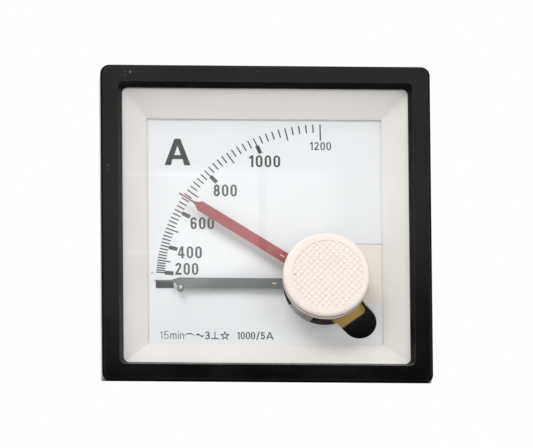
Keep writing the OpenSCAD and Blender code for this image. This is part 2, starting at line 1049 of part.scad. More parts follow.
// Copper straps from the studs forward to the movement plate
module current_leads() {
    stud_x = stud_pitch / 2;
    leg_x = stud_x - strap_w;
    foot = 5;
    nut_clear_r = lock_nut_r + 0.9;
    color([0.78, 0.45, 0.3])
        difference() {
            for (side = [0, 1])
                rotate([0, 180 * side, 0]) {
                    translate([leg_x, floor_front - strap_t - bezel_depth, -strap_w / 2])
                        cube([stud_x - leg_x, strap_t, strap_w]);
                    translate([stud_x, floor_front - strap_t - bezel_depth, 0])
                        rotate([-90, 0, 0])
                            cylinder(h = strap_t, r = strap_w / 2);
                    translate([leg_x, plate_back - bezel_depth, -strap_w / 2])
                        cube([strap_t, floor_front - plate_back, strap_w]);
                    translate([leg_x - foot, plate_back - bezel_depth, -strap_w / 2])
                        cube([foot + strap_t, strap_t, strap_w]);
                }
            stud_places()
                rod(floor_front - strap_t - over, floor_front + over, stud_r);
            at_pivot()
                rod(plate_back - over, plate_back + 2 * lock_nut_t, nut_clear_r);
        }
}

module terminal_studs() {
    color([0.83, 0.69, 0.36])
        stud_places() {
            hex(floor_front - strap_t - stud_head_t, floor_front - strap_t, stud_head_r);
            rod(floor_front - strap_t - over, stud_shoulder, stud_r);
            rod(stud_shoulder - over, stud_back, stud_end_r);
        }
}

module ring_nut(front) {
    difference() {
        hex(front, front + nut_t, nut_r);
        rod(front - over, front + nut_t + over, stud_r);
    }
}

module terminal_nuts() {
    color([0.83, 0.69, 0.36])
        stud_places() {
            ring_nut(inner_nut_front);
            ring_nut(outer_nut_front);
        }
}

module terminal_washers() {
    color([0.8, 0.68, 0.4])
        stud_places() {
            tube(case_back, inner_nut_front, 2 * stud_r, stud_hole_r);
            tube(outer_washer_front, outer_washer_front + washer_t, 2 * stud_r, stud_hole_r);
        }
}

module spring_washers() {
    cut = 0.8;
    color([0.6, 0.61, 0.63])
        stud_places()
            difference() {
                tube(outer_nut_front - spring_t, outer_nut_front, 1.75 * stud_r, stud_hole_r);
                rotate([0, 30, 0])
                    layer(outer_nut_front - spring_t - over, outer_nut_front + over)
                        translate([0, -cut / 2])
                            square([3 * stud_r, cut]);
            }
}

bezel();
window();
inner_frame();
dial_plate();
scale_marks();
corner_cover();
case();
reset_knob();
knob_spindle();
knob_spring_washer();
retaining_clip();
driver_arm();
hub_retainer();
max_pointer();
max_hub();
max_catch();
drag_washer();
main_pointer();
main_hub();
drive_pin();
balance_weights();
shaft();
spiral_collets();
bridge();
front_bush();
zero_lever();
zero_post();
bridge_screws();
shield_spacers();
bridge_pillars();
heat_shield();
compensating_spiral();
measuring_spiral();
current_post();
movement_plate();
plate_screws();
rear_bearing();
rear_lock_nut();
current_leads();
terminal_studs();
terminal_nuts();
terminal_washers();
spring_washers();
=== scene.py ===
"""Dresses a flush panel ammeter: its print, reset knob, threads and finishes, and its studio."""
import json
import logging
import math
from dataclasses import dataclass
from enum import Enum
from typing import Callable, Dict, List, Optional, Sequence, Tuple

import bpy
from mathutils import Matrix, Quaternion, Vector

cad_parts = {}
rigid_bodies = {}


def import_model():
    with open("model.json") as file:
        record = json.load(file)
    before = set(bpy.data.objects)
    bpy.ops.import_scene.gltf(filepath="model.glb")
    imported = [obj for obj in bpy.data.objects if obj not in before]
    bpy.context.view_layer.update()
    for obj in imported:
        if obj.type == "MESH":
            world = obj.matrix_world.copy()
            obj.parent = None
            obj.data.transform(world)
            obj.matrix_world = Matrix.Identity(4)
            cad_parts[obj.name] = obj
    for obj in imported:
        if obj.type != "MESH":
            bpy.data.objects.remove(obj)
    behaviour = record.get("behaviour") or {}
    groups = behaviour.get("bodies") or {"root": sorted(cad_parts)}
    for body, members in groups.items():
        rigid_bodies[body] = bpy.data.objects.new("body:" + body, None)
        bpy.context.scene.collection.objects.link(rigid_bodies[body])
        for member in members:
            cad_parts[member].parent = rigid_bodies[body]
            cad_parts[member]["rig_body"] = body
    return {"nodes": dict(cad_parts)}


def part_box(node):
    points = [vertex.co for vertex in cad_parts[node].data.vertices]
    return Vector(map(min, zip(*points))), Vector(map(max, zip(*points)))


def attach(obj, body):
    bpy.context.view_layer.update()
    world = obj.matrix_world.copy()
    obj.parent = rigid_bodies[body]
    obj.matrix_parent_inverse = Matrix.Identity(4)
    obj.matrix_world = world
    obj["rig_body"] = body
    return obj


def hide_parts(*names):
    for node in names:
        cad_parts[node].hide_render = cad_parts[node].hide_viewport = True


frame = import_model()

log = logging.getLogger("meter")

MM = 0.001
Pair = Tuple[float, float]
Triple = Tuple[float, float, float]
Rgba = Tuple[float, float, float, float]
Piece = bpy.types.Object
Material = bpy.types.Material
Tree = bpy.types.NodeTree
Socket = bpy.types.NodeSocket
Sockets = Sequence[Socket]

WELD = 0.0001 * MM
DRIFT_RANGE = (0.3, 0.7)
ROUGH_SWING = 0.06
LEAST_ROUGH = 0.02
DUST_COLOUR = (168, 164, 158)
DUST_ROUGH = 0.3


def linear(colour: Triple) -> Rgba:
    """Turns a colour of 0 to 255 a channel into linear light.

    Args:
        colour: Red, green and blue as a paint chart gives them.

    Returns:
        The colour with an alpha of one.
    """
    def channel(value: float) -> float:
        """One channel in linear light."""
        part = value / 255
        return part / 12.92 if part <= 0.04045 else ((part + 0.055) / 1.055) ** 2.4

    red, green, blue = (channel(value) for value in colour)
    return (red, green, blue, 1.0)


# ---- sizes that the frame gives


@dataclass(frozen=True)
class Layout:
    """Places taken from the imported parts, in metres."""

    bezel_front: float
    bezel_half: float
    dial_front: float
    pivot: Pair
    knob_front: float
    knob_back: float
    knob_r: float

    @staticmethod
    def measured() -> "Layout":
        """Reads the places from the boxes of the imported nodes."""
        bezel_low, bezel_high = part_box("bezel")
        dial_low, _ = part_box("dial_plate")
        shaft_low, shaft_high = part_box("shaft")
        knob_low, knob_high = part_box("reset_knob")
        return Layout(
            bezel_front=bezel_low.y,
            bezel_half=(bezel_high.x - bezel_low.x) / 2,
            dial_front=dial_low.y,
            pivot=((shaft_low.x + shaft_high.x) / 2, (shaft_low.z + shaft_high.z) / 2),
            knob_front=knob_low.y,
            knob_back=knob_high.y,
            knob_r=(knob_high.x - knob_low.x) / 2,
        )

    def at_angle(self, angle: float, radius: float) -> Pair:
        """A place on the dial.

        Args:
            angle: Degrees clockwise from straight left of the pivot.
            radius: Distance from the pivot in metres.

        Returns:
            Its X and Z.
        """
        turn = math.radians(angle)
        return (
            self.pivot[0] - radius * math.cos(turn),
            self.pivot[1] + radius * math.sin(turn),
        )


# ---- steps of hand modelling


def pick(piece: Piece) -> None:
    """Makes one piece the only selected one and the active one."""
    bpy.ops.object.select_all(action="DESELECT")
    piece.select_set(True)
    bpy.context.view_layer.objects.active = piece


def settle(name: str, scale: Triple = (1, 1, 1)) -> Piece:
    """Names and scales the active piece, and moves its place into its mesh.

    Args:
        name: The piece's name.
        scale: Its scale along its own axes.

    Returns:
        The piece, whose object then sits at the origin.
    """
    piece = bpy.context.active_object
    piece.name = piece.data.name = name
    piece.scale = scale
    bpy.ops.object.transform_apply(location=True, rotation=True, scale=True)
    return piece


def edit(piece: Piece, select_all: bool = True) -> None:
    """Opens a piece for editing, with all or none of it selected."""
    pick(piece)
    bpy.ops.object.mode_set(mode="EDIT")
    bpy.ops.mesh.select_all(action="SELECT" if select_all else "DESELECT")


def done() -> None:
    """Closes the piece that is being edited."""
    bpy.ops.object.mode_set(mode="OBJECT")


def select_vertices(piece: Piece, chosen: Callable[[Vector], bool]) -> None:
    """Opens a piece and selects the vertices that a rule picks by their place.

    Args:
        piece: The piece to edit.
        chosen: Says of a place whether its vertex is selected.
    """
    edit(piece, select_all=False)
    bpy.ops.mesh.select_mode(type="VERT")
    done()
    for vertex in piece.data.vertices:
        vertex.select = chosen(vertex.co)
    bpy.ops.object.mode_set(mode="EDIT")


def apply_modifier(piece: Piece, kind: str, **settings: object) -> None:
    """Adds one modifier and applies it.

    Args:
        piece: The piece to change.
        kind: The modifier's type.
        settings: The modifier's own settings.
    """
    pick(piece)
    step = piece.modifiers.new(kind.lower(), kind)
    for key, value in settings.items():
        setattr(step, key, value)
    bpy.ops.object.modifier_apply(modifier=step.name)


def combine(piece: Piece, tool: Piece, operation: str) -> None:
    """Cuts or joins a piece with a second one, which is used up.

    Args:
        piece: The piece that stays.
        tool: The piece that is used up.
        operation: UNION, DIFFERENCE or INTERSECT.
    """
    apply_modifier(piece, "BOOLEAN", operation=operation, solver="EXACT", object=tool)
    bpy.data.objects.remove(tool, do_unlink=True)


def face_outwards(piece: Piece, merge: float = 0.00001 * MM) -> None:
    """Merges doubles and turns every face outwards."""
    edit(piece)
    bpy.ops.mesh.remove_doubles(threshold=merge)
    bpy.ops.mesh.normals_make_consistent(inside=False)
    done()


def smooth(piece: Piece, angle: float = 35.0) -> None:
    """Shades a piece smooth up to an angle between its faces, in degrees."""
    pick(piece)
    bpy.ops.object.shade_smooth_by_angle(angle=math.radians(angle))


def turned(name: str, centre: Pair, profile: Sequence[Pair], sides: int) -> Piece:
    """Turns a closed piece about the depth axis, ring by ring.

    Args:
        name: The piece's name.
        centre: X and Z of the axis.
        profile: Radius and depth of each ring, from the front cap to the back cap.
        sides: Vertices of each ring.

    Returns:
        The turned piece.
    """
    radius, depth = profile[0]
    bpy.ops.mesh.primitive_circle_add(
        vertices=sides, radius=radius, fill_type="NGON",
        location=(centre[0], depth, centre[1]), rotation=(math.pi / 2, 0, 0),
    )
    piece = settle(name)
    edit(piece)
    for next_radius, next_depth in profile[1:]:
        bpy.ops.mesh.extrude_region_move(
            TRANSFORM_OT_translate={"value": (0, next_depth - depth, 0)}
        )
        ratio = next_radius / radius
        if abs(ratio - 1) > 1e-9:
            bpy.ops.transform.resize(
                value=(ratio, 1, ratio), center_override=(centre[0], next_depth, centre[1])
            )
        radius, depth = next_radius, next_depth
    done()
    face_outwards(piece)
    return piece


# ---- effects shared by finishes


class Effect(Enum):
    """Shader groups that several finishes use: name, outputs and usual inputs."""

    GRAIN = ("moulded_grain", ("Height", "Tone"), {"Scale": 2500.0, "Drift": 70.0})
    WEAR = ("edge_wear", ("Mask",), {"Reach": 0.2 * MM, "Scale": 400.0})
    DUST = ("settled_dust", ("Mask",), {"Scale": 300.0, "Cover": 0.5})
    BRUSH = ("brushed_lines", ("Height", "Stain"), {"Scale": 900.0})
    SCUFF = ("ragged_scuff", ("Mask",), {"Across": 0.0, "Up": 0.0, "Reach": 1.0 * MM})


class Wiring:
    """A shader tree that nodes are added to. An input takes a socket or a plain value."""

    def __init__(self, tree: Tree) -> None:
        """Keeps the tree."""
        self.tree = tree

    def fill(self, sockets: Sockets, values: Dict[object, object]) -> None:
        """Links or sets the inputs of a node.

        Args:
            sockets: The inputs.
            values: A socket or a plain value for each input, by its name or number.
        """
        for key, value in values.items():
            if isinstance(value, Socket):
                self.tree.links.new(value, sockets[key])
            else:
                sockets[key].default_value = value

    def node(
        self, kind: str, values: Optional[Dict[object, object]] = None, **settings: object
    ) -> bpy.types.Node:
        """Adds a node.

        Args:
            kind: Its type, without the leading ShaderNode.
            values: A socket or a plain value for each input that is set.
            settings: The node's own settings.

        Returns:
            The node.
        """
        node = self.tree.nodes.new("ShaderNode" + kind)
        for key, value in settings.items():
            setattr(node, key, value)
        self.fill(node.inputs, values or {})
        return node

    def effect(self, effect: Effect, **values: float) -> Sockets:
        """Places a shared effect with its own values and returns its outputs."""
        return self.node("Group", values, node_tree=SHELF.get(effect)).outputs

    def surface(self, shader: Socket) -> None:
        """Makes a shader the surface of the material."""
        self.fill(self.tree.nodes["Material Output"].inputs, {"Surface": shader})

    def place(self) -> Socket:
        """Object coordinates."""
        return self.node("TexCoord").outputs["Object"]

    def normal(self) -> Socket:
        """Normal of the bare shape."""
        return self.node("NewGeometry").outputs["Normal"]

    def rounded(self, radius: object) -> Socket:
        """Normal of the shape with its edges rounded to a radius."""
        return self.node("Bevel", {"Radius": radius}, samples=4).outputs["Normal"]

    def axis(self, vector: Socket, label: str) -> Socket:
        """The X, Y or Z of a vector."""
        return self.node("SeparateXYZ", {"Vector": vector}).outputs[label]

    def maths(self, operation: str, first: object, second: object = 0.0) -> Socket:
        """Works out one step with two sockets or numbers."""
        return self.node("Math", {0: first, 1: second}, operation=operation).outputs[0]

    def product(self, first: object, *others: object) -> Socket:
        """Multiplies sockets or numbers from left to right."""
        for other in others:
            first = self.maths("MULTIPLY", first, other)
        return first

    def noise(self, vector: Socket, scale: object, detail: float, roughness: float) -> Socket:
        """Adds a noise texture.

        Args:
            vector: The place that the noise reads.
            scale: A socket or a number.
            detail: Octaves of detail.
            roughness: Weight of the fine octaves.

        Returns:
            The noise's value.
        """
        return self.node("TexNoise", {
            "Vector": vector, "Scale": scale, "Detail": detail, "Roughness": roughness,
        }).outputs["Fac"]

    def stretch(
        self, value: Socket, low: float, high: float, to_low: float = 0.0, to_high: float = 1.0
    ) -> Socket:
        """Stretches a range of a value to a new one and clamps it.

        Args:
            value: The value.
            low: Start of the range.
            high: End of the range.
            to_low: What the start becomes.
            to_high: What the end becomes.

        Returns:
            The stretched value.
        """
        return self.node("MapRange", {
            "Value": value, "From Min": low, "From Max": high, "To Min": to_low,
            "To Max": to_high,
        }, clamp=True).outputs["Result"]

    def band(self, value: Socket, rise: Pair, fall: Pair) -> Socket:
        """A mask that is one between two soft edges.

        Args:
            value: The length that is measured.
            rise: Start and end of the first edge, in millimetres.
            fall: Start and end of the second edge.

        Returns:
            The mask.
        """
        return self.product(
            self.stretch(value, rise[0] * MM, rise[1] * MM),
            self.stretch(value, fall[0] * MM, fall[1] * MM, 1, 0),
        )

    def blend(self, factor: object, first: object, second: object) -> Socket:
        """Mixes two colours.

        Args:
            factor: A socket or a number.
            first: A socket or a linear colour.
            second: A socket or a linear colour.

        Returns:
            The mixed colour.
        """
        values = {"Factor": factor, 6: first, 7: second}
        return self.node("Mix", values, data_type="RGBA").outputs[2]


class EffectShelf:
    """Builds each shader group once and keeps it."""

    def __init__(self) -> None:
        """Starts with no group built."""
        self.groups: Dict[Effect, Tree] = {}

    def get(self, effect: Effect) -> Tree:
        """Returns a group, which the method of its name draws on its first use."""
        if effect not in self.groups:
            name, outputs, inputs = effect.value
            group = bpy.data.node_groups.new(name, "ShaderNodeTree")
            for label, way in (*((key, "INPUT") for key in inputs),
                               *((key, "OUTPUT") for key in outputs)):
                socket = group.interface.new_socket(
                    name=label, in_out=way, socket_type="NodeSocketFloat"
                )
                if way == "INPUT":
                    socket.default_value = inputs[label]
            given = group.nodes.new("NodeGroupInput").outputs
            wanted = group.nodes.new("NodeGroupOutput").inputs
            wiring = Wiring(group)
            drawn = getattr(self, effect.name.lower())(wiring, given)
            wiring.fill(wanted, dict(zip(outputs, drawn)))
            self.groups[effect] = group
        return self.groups[effect]

    @staticmethod
    def grain(wiring: Wiring, given: Sockets) -> Tuple[Socket, ...]:
        """Fine grain of a moulding: a height and slow drifts of tone."""
        place = wiring.place()
        fine = wiring.noise(place, given["Scale"], 3.0, 0.6)
        cells = wiring.node("TexVoronoi", {"Vector": place, "Scale": given["Scale"]})
        height = wiring.maths("ADD", fine, cells.outputs["Distance"])
        return height, wiring.noise(place, given["Drift"], 4.0, 0.55)

    @staticmethod
    def wear(wiring: Wiring, given: Sockets) -> Tuple[Socket, ...]:
        """Rubbed edges: a mask that is strong where a face turns over an edge."""
        normals = {0: wiring.rounded(given["Reach"]), 1: wiring.normal()}
        alike = wiring.node("VectorMath", normals, operation="DOT_PRODUCT").outputs["Value"]
        spots = wiring.noise(wiring.place(), given["Scale"], 5.0, 0.7)
        ragged = wiring.product(wiring.maths("SUBTRACT", 1.0, alike), spots)
        return (wiring.stretch(ragged, 0.01, 0.09),)

    @staticmethod
    def dust(wiring: Wiring, given: Sockets) -> Tuple[Socket, ...]:
        """Dust that lies on faces that look up, and a few specks elsewhere."""
        place = wiring.place()
        up = wiring.stretch(wiring.axis(wiring.normal(), "Z"), 0.1, 1.0)
        lying = wiring.product(up, wiring.noise(place, given["Scale"], 6.0, 0.65))
        fine = wiring.noise(place, wiring.product(given["Scale"], 8.0), 2.0, 0.5)
        both = wiring.maths("MAXIMUM", lying, wiring.stretch(fine, 0.73, 0.78))
        return (wiring.product(both, given["Cover"]),)

    @staticmethod
    def brush(wiring: Wiring, given: Sockets) -> Tuple[Socket, ...]:
        """Fine lines left by brushing or turning metal."""
        place = wiring.place()
        laid = wiring.node("Mapping", {
            "Vector": place, "Rotation": (0, math.radians(38), 0), "Scale": (0.06, 1.0, 1.6),
        }).outputs["Vector"]
        coarse = wiring.product(given["Scale"], 0.3)
        return (
            wiring.noise(laid, given["Scale"], 3.0, 0.6), wiring.noise(place, coarse, 4.0, 0.6)
        )

    @staticmethod
    def scuff(wiring: Wiring, given: Sockets) -> Tuple[Socket, ...]:
        """One rubbed or chipped spot: a ragged patch about a place on the front."""
        place = wiring.place()
        across = wiring.maths("SUBTRACT", wiring.axis(place, "X"), given["Across"])
        up = wiring.maths("SUBTRACT", wiring.axis(place, "Z"), given["Up"])
        squares = wiring.maths("ADD", wiring.product(across, across), wiring.product(up, up))
        share = wiring.maths("DIVIDE", wiring.maths("SQRT", squares), given["Reach"])
        rag = wiring.product(wiring.noise(place, 2600.0, 4.0, 0.7), 2.0)
        return (wiring.stretch(wiring.maths("SUBTRACT", rag, share), 0.1, 0.35),)


SHELF = EffectShelf()


def fresh_material(name: str) -> Tuple[Material, Wiring, bpy.types.Node]:
    """Starts a material.

    Args:
        name: Its name.

    Returns:
        The material, its wiring and its shader.
    """
    material = bpy.data.materials.new(name)
    material.use_nodes = True
    wiring = Wiring(material.node_tree)
    return material, wiring, wiring.tree.nodes["Principled BSDF"]


def toned(colour: Rgba, ratio: float) -> Rgba:
    """A linear colour made darker or lighter by a ratio."""
    red, green, blue = (min(1.0, part * ratio) for part in colour[:3])
    return (red, green, blue, 1.0)


# ---- finishes


@dataclass(frozen=True)
class Finish:
    """A moulded, painted or metal surface.

    Colours are 0 to 255 a channel, lengths are in millimetres.
    """

    name: str
    colour: Triple
    roughness: float
    metallic: float = 0.0
    specular: float = 0.5
    grain_height: float = 0.004
    drift: float = 0.06
    wear: float = 0.0
    wear_reach: float = 0.15
    wear_colour: Triple = (200, 200, 200)
    dust: float = 0.0
    brushed: float = 0.0
    round_edge: float = 0.08
    scuffs: Tuple[Tuple[float, float, float, float], ...] = ()
    scuff_colour: Triple = (120, 120, 120)
    # Depths, in millimetres, of a ring that is painted darker as painted shade in a groove.
    seam: Pair = (0.0, 0.0)
    side_gloss: float = 1.0
    slot: str = ""

    def grimy_seam(self, wiring: Wiring, colour: Socket) -> Socket:
        """Paints shade on a ring between two depths: the shade that falls in a narrow groove."""
        soft = 0.05
        rise, fall = ((depth - soft, depth + soft) for depth in self.seam)
        ring = wiring.band(wiring.axis(wiring.place(), "Y"), rise, fall)
        return wiring.blend(ring, colour, toned(linear(self.colour), 0.3))

    def material(self) -> Material:
        """Builds the material."""
        material, wiring, shader = fresh_material(self.name)
        grain = wiring.effect(Effect.GRAIN)
        height = grain["Height"]
        base = linear(self.colour)
        drift = wiring.stretch(grain["Tone"], *DRIFT_RANGE)
        colour = wiring.blend(
            drift, toned(base, 1 - 2 * self.drift), toned(base, 1 + self.drift)
        )
        rough = wiring.stretch(
            grain["Tone"], *DRIFT_RANGE,
            max(LEAST_ROUGH, self.roughness - ROUGH_SWING), self.roughness + ROUGH_SWING,
        )
        if self.brushed:
            lines = wiring.effect(Effect.BRUSH)
            stain = wiring.stretch(lines["Stain"], 0.45, 0.75, 0.0, 0.5)
            colour = wiring.blend(stain, colour, toned(base, 0.62))
            height = lines["Height"]
        if self.wear:
            worn = wiring.effect(Effect.WEAR, Reach=self.wear_reach * MM)
            mask = wiring.product(worn["Mask"], self.wear)
            colour = wiring.blend(mask, colour, linear(self.wear_colour))
        if self.dust:
            dusty = wiring.effect(Effect.DUST, Cover=self.dust)["Mask"]
            colour = wiring.blend(dusty, colour, linear(DUST_COLOUR))
            rough = wiring.maths("ADD", rough, wiring.product(dusty, DUST_ROUGH))
        # Painted shade in a groove.
        if self.seam[1] != self.seam[0]:
            colour = self.grimy_seam(wiring, colour)
        for across, up, reach, strength in self.scuffs:
            spot = wiring.effect(
                Effect.SCUFF, Across=across * MM, Up=up * MM, Reach=reach * MM
            )
            mask = wiring.product(spot["Mask"], strength)
            colour = wiring.blend(mask, colour, linear(self.scuff_colour))
        gloss: object = self.specular
        if self.side_gloss < 1.0:
            facing = wiring.maths("ABSOLUTE", wiring.axis(wiring.normal(), "Y"))
            gloss = wiring.stretch(
                facing, 0.8, 0.97, self.specular * self.side_gloss, self.specular
            )
        bump = wiring.node("Bump", {
            "Strength": 1.0,
            "Distance": self.grain_height * MM * (1 + 4 * self.brushed),
            "Height": height,
            "Normal": wiring.rounded(self.round_edge * MM),
        })
        wiring.fill(shader.inputs, {
            "Metallic": self.metallic,
            "Specular IOR Level": gloss,
            "Base Color": colour,
            "Roughness": rough,
            "Normal": bump.outputs["Normal"],
        })
        return material


@dataclass(frozen=True)
class ClearFinish(Finish):
    """A clear window that lets lamps shine on what lies behind it."""

    ior: float = 1.45

    def material(self) -> Material:
        """Builds the material."""
        material, wiring, shader = fresh_material(self.name)
        drift = wiring.effect(Effect.GRAIN)["Tone"]
        wiring.fill(shader.inputs, {
            "Base Color": linear(self.colour),
            "Transmission Weight": 1.0,
            "IOR": self.ior,
            "Roughness": wiring.stretch(drift, 0.45, 0.8, 0.0, self.roughness),
        })
        rays = wiring.node("LightPath").outputs
        clear = wiring.node("BsdfTransparent").outputs["BSDF"]
        unseen = wiring.maths("MAXIMUM", rays["Is Shadow Ray"], rays["Is Diffuse Ray"])
        mix = wiring.node("MixShader", {"Fac": unseen, 1: shader.outputs["BSDF"], 2: clear})
        wiring.surface(mix.outputs["Shader"])
        return material


class Paint(Enum):
    """Every finish on the meter."""

    BEZEL = Finish(
        "bezel_black", (10, 11, 11), 0.15, specular=0.44, grain_height=0.003, drift=0.12,
        wear=0.3, wear_reach=0.2, wear_colour=(90, 92, 94), dust=0.02, round_edge=0.12,
        side_gloss=0.12,
        scuffs=(
            (-29.5, 34.2, 0.34, 0.55), (-30.7, 33.5, 0.22, 0.3), (-30.6, 34.3, 0.2, 0.25),
            (-31.7, 33.6, 0.2, 0.2), (-1.6, 34.65, 0.2, 0.35), (-34.5, 12.9, 0.24, 0.35),
            (-34.35, 11.9, 0.2, 0.3),
        ),
        scuff_colour=(125, 125, 125),
    )
    CASE = Finish("case_black", (24, 24, 26), 0.45, grain_height=0.01, wear=0.25, dust=0.2)
    WINDOW = ClearFinish("window_clear", (252, 253, 253), 0.03)
    FRAME = Finish("frame_white", (241, 237, 232), 0.4, drift=0.02, grain_height=0.002)
    COVER = Finish("cover_cream", (243, 234, 225), 0.42, drift=0.02)
    KNOB = Finish(
        "knob_cream", (246, 235, 227), 0.38, drift=0.02, grain_height=0.003,
        scuffs=((6.1, -12.14, 0.22, 0.7),), scuff_colour=(150, 138, 126),
        # Painted shade in the groove between the knob's face and its knurled skirt.
        seam=(-6.62, -6.0),
    )
    DIAL = Finish("dial_enamel", (236, 238, 240), 0.5, drift=0.012, grain_height=0.001)
    PRINT = Finish("scale_print", (50, 53, 54), 0.55, drift=0.1, grain_height=0.002)
    PALE_PRINT = Finish(
        "small_print", (92, 96, 98), 0.55, drift=0.1, grain_height=0.002, slot="scale_print"
    )
    GREY = Finish("pointer_grey", (103, 108, 107), 0.5, drift=0.08, wear=0.2, wear_reach=0.08)
    RED = Finish("pointer_red", (160, 60, 63), 0.42, drift=0.08, wear=0.15, wear_reach=0.08)
    BRASS = Finish(
        "brass", (238, 203, 114), 0.44, metallic=0.76, brushed=0.6, drift=0.05
    )
    # Bright gilt for the pointers' sight slots: a painted glint.
    GILT = Finish("gilt", (250, 226, 160), 0.35, metallic=0.3, slot="brass")
    NICKEL = Finish("nickel", (226, 228, 228), 0.4, metallic=0.2, slot="steel")
    # Near black with almost no gloss: painted shade for the unlit inside seen through the dial's
    # slot.
    SHIELD = Finish("shield_painted_shade", (7, 6, 6), 0.7, specular=0.03, drift=0.15)
    STEEL = Finish("steel", (176, 178, 181), 0.3, metallic=1.0, brushed=0.5, drift=0.05)
    ZINC = Finish("zinc_steel", (206, 208, 205), 0.42, metallic=0.9, brushed=0.4, drift=0.08)
    DARK = Finish("dark_steel", (52, 52, 54), 0.42, metallic=1.0, brushed=0.3)
    BIMETAL = Finish("bimetal", (15, 13, 12), 0.55, specular=0.1, drift=0.15)
    COPPER = Finish("copper", (196, 122, 88), 0.34, metallic=1.0, brushed=0.5, drift=0.1)
    PHENOLIC = Finish(
        "phenolic", (12, 10, 9), 0.6, specular=0.1, drift=0.15, grain_height=0.006
    )


class PaintRack:
    """Keeps one material for each finish."""

    def __init__(self) -> None:
        """Starts with no material built."""
        self.made: Dict[Paint, Material] = {}

    def get(self, paint: Paint) -> Material:
        """Returns a finish's material, built on its first use."""
        if paint not in self.made:
            self.made[paint] = paint.value.material()
        return self.made[paint]

    def coat(self, piece: Piece, paint: Paint) -> None:
        """Gives the whole of a piece one finish."""
        material = self.get(paint)
        if not piece.data.materials:
            piece.data.materials.append(material)
        for index in range(len(piece.data.materials)):
            piece.data.materials[index] = material


# ---- printed characters


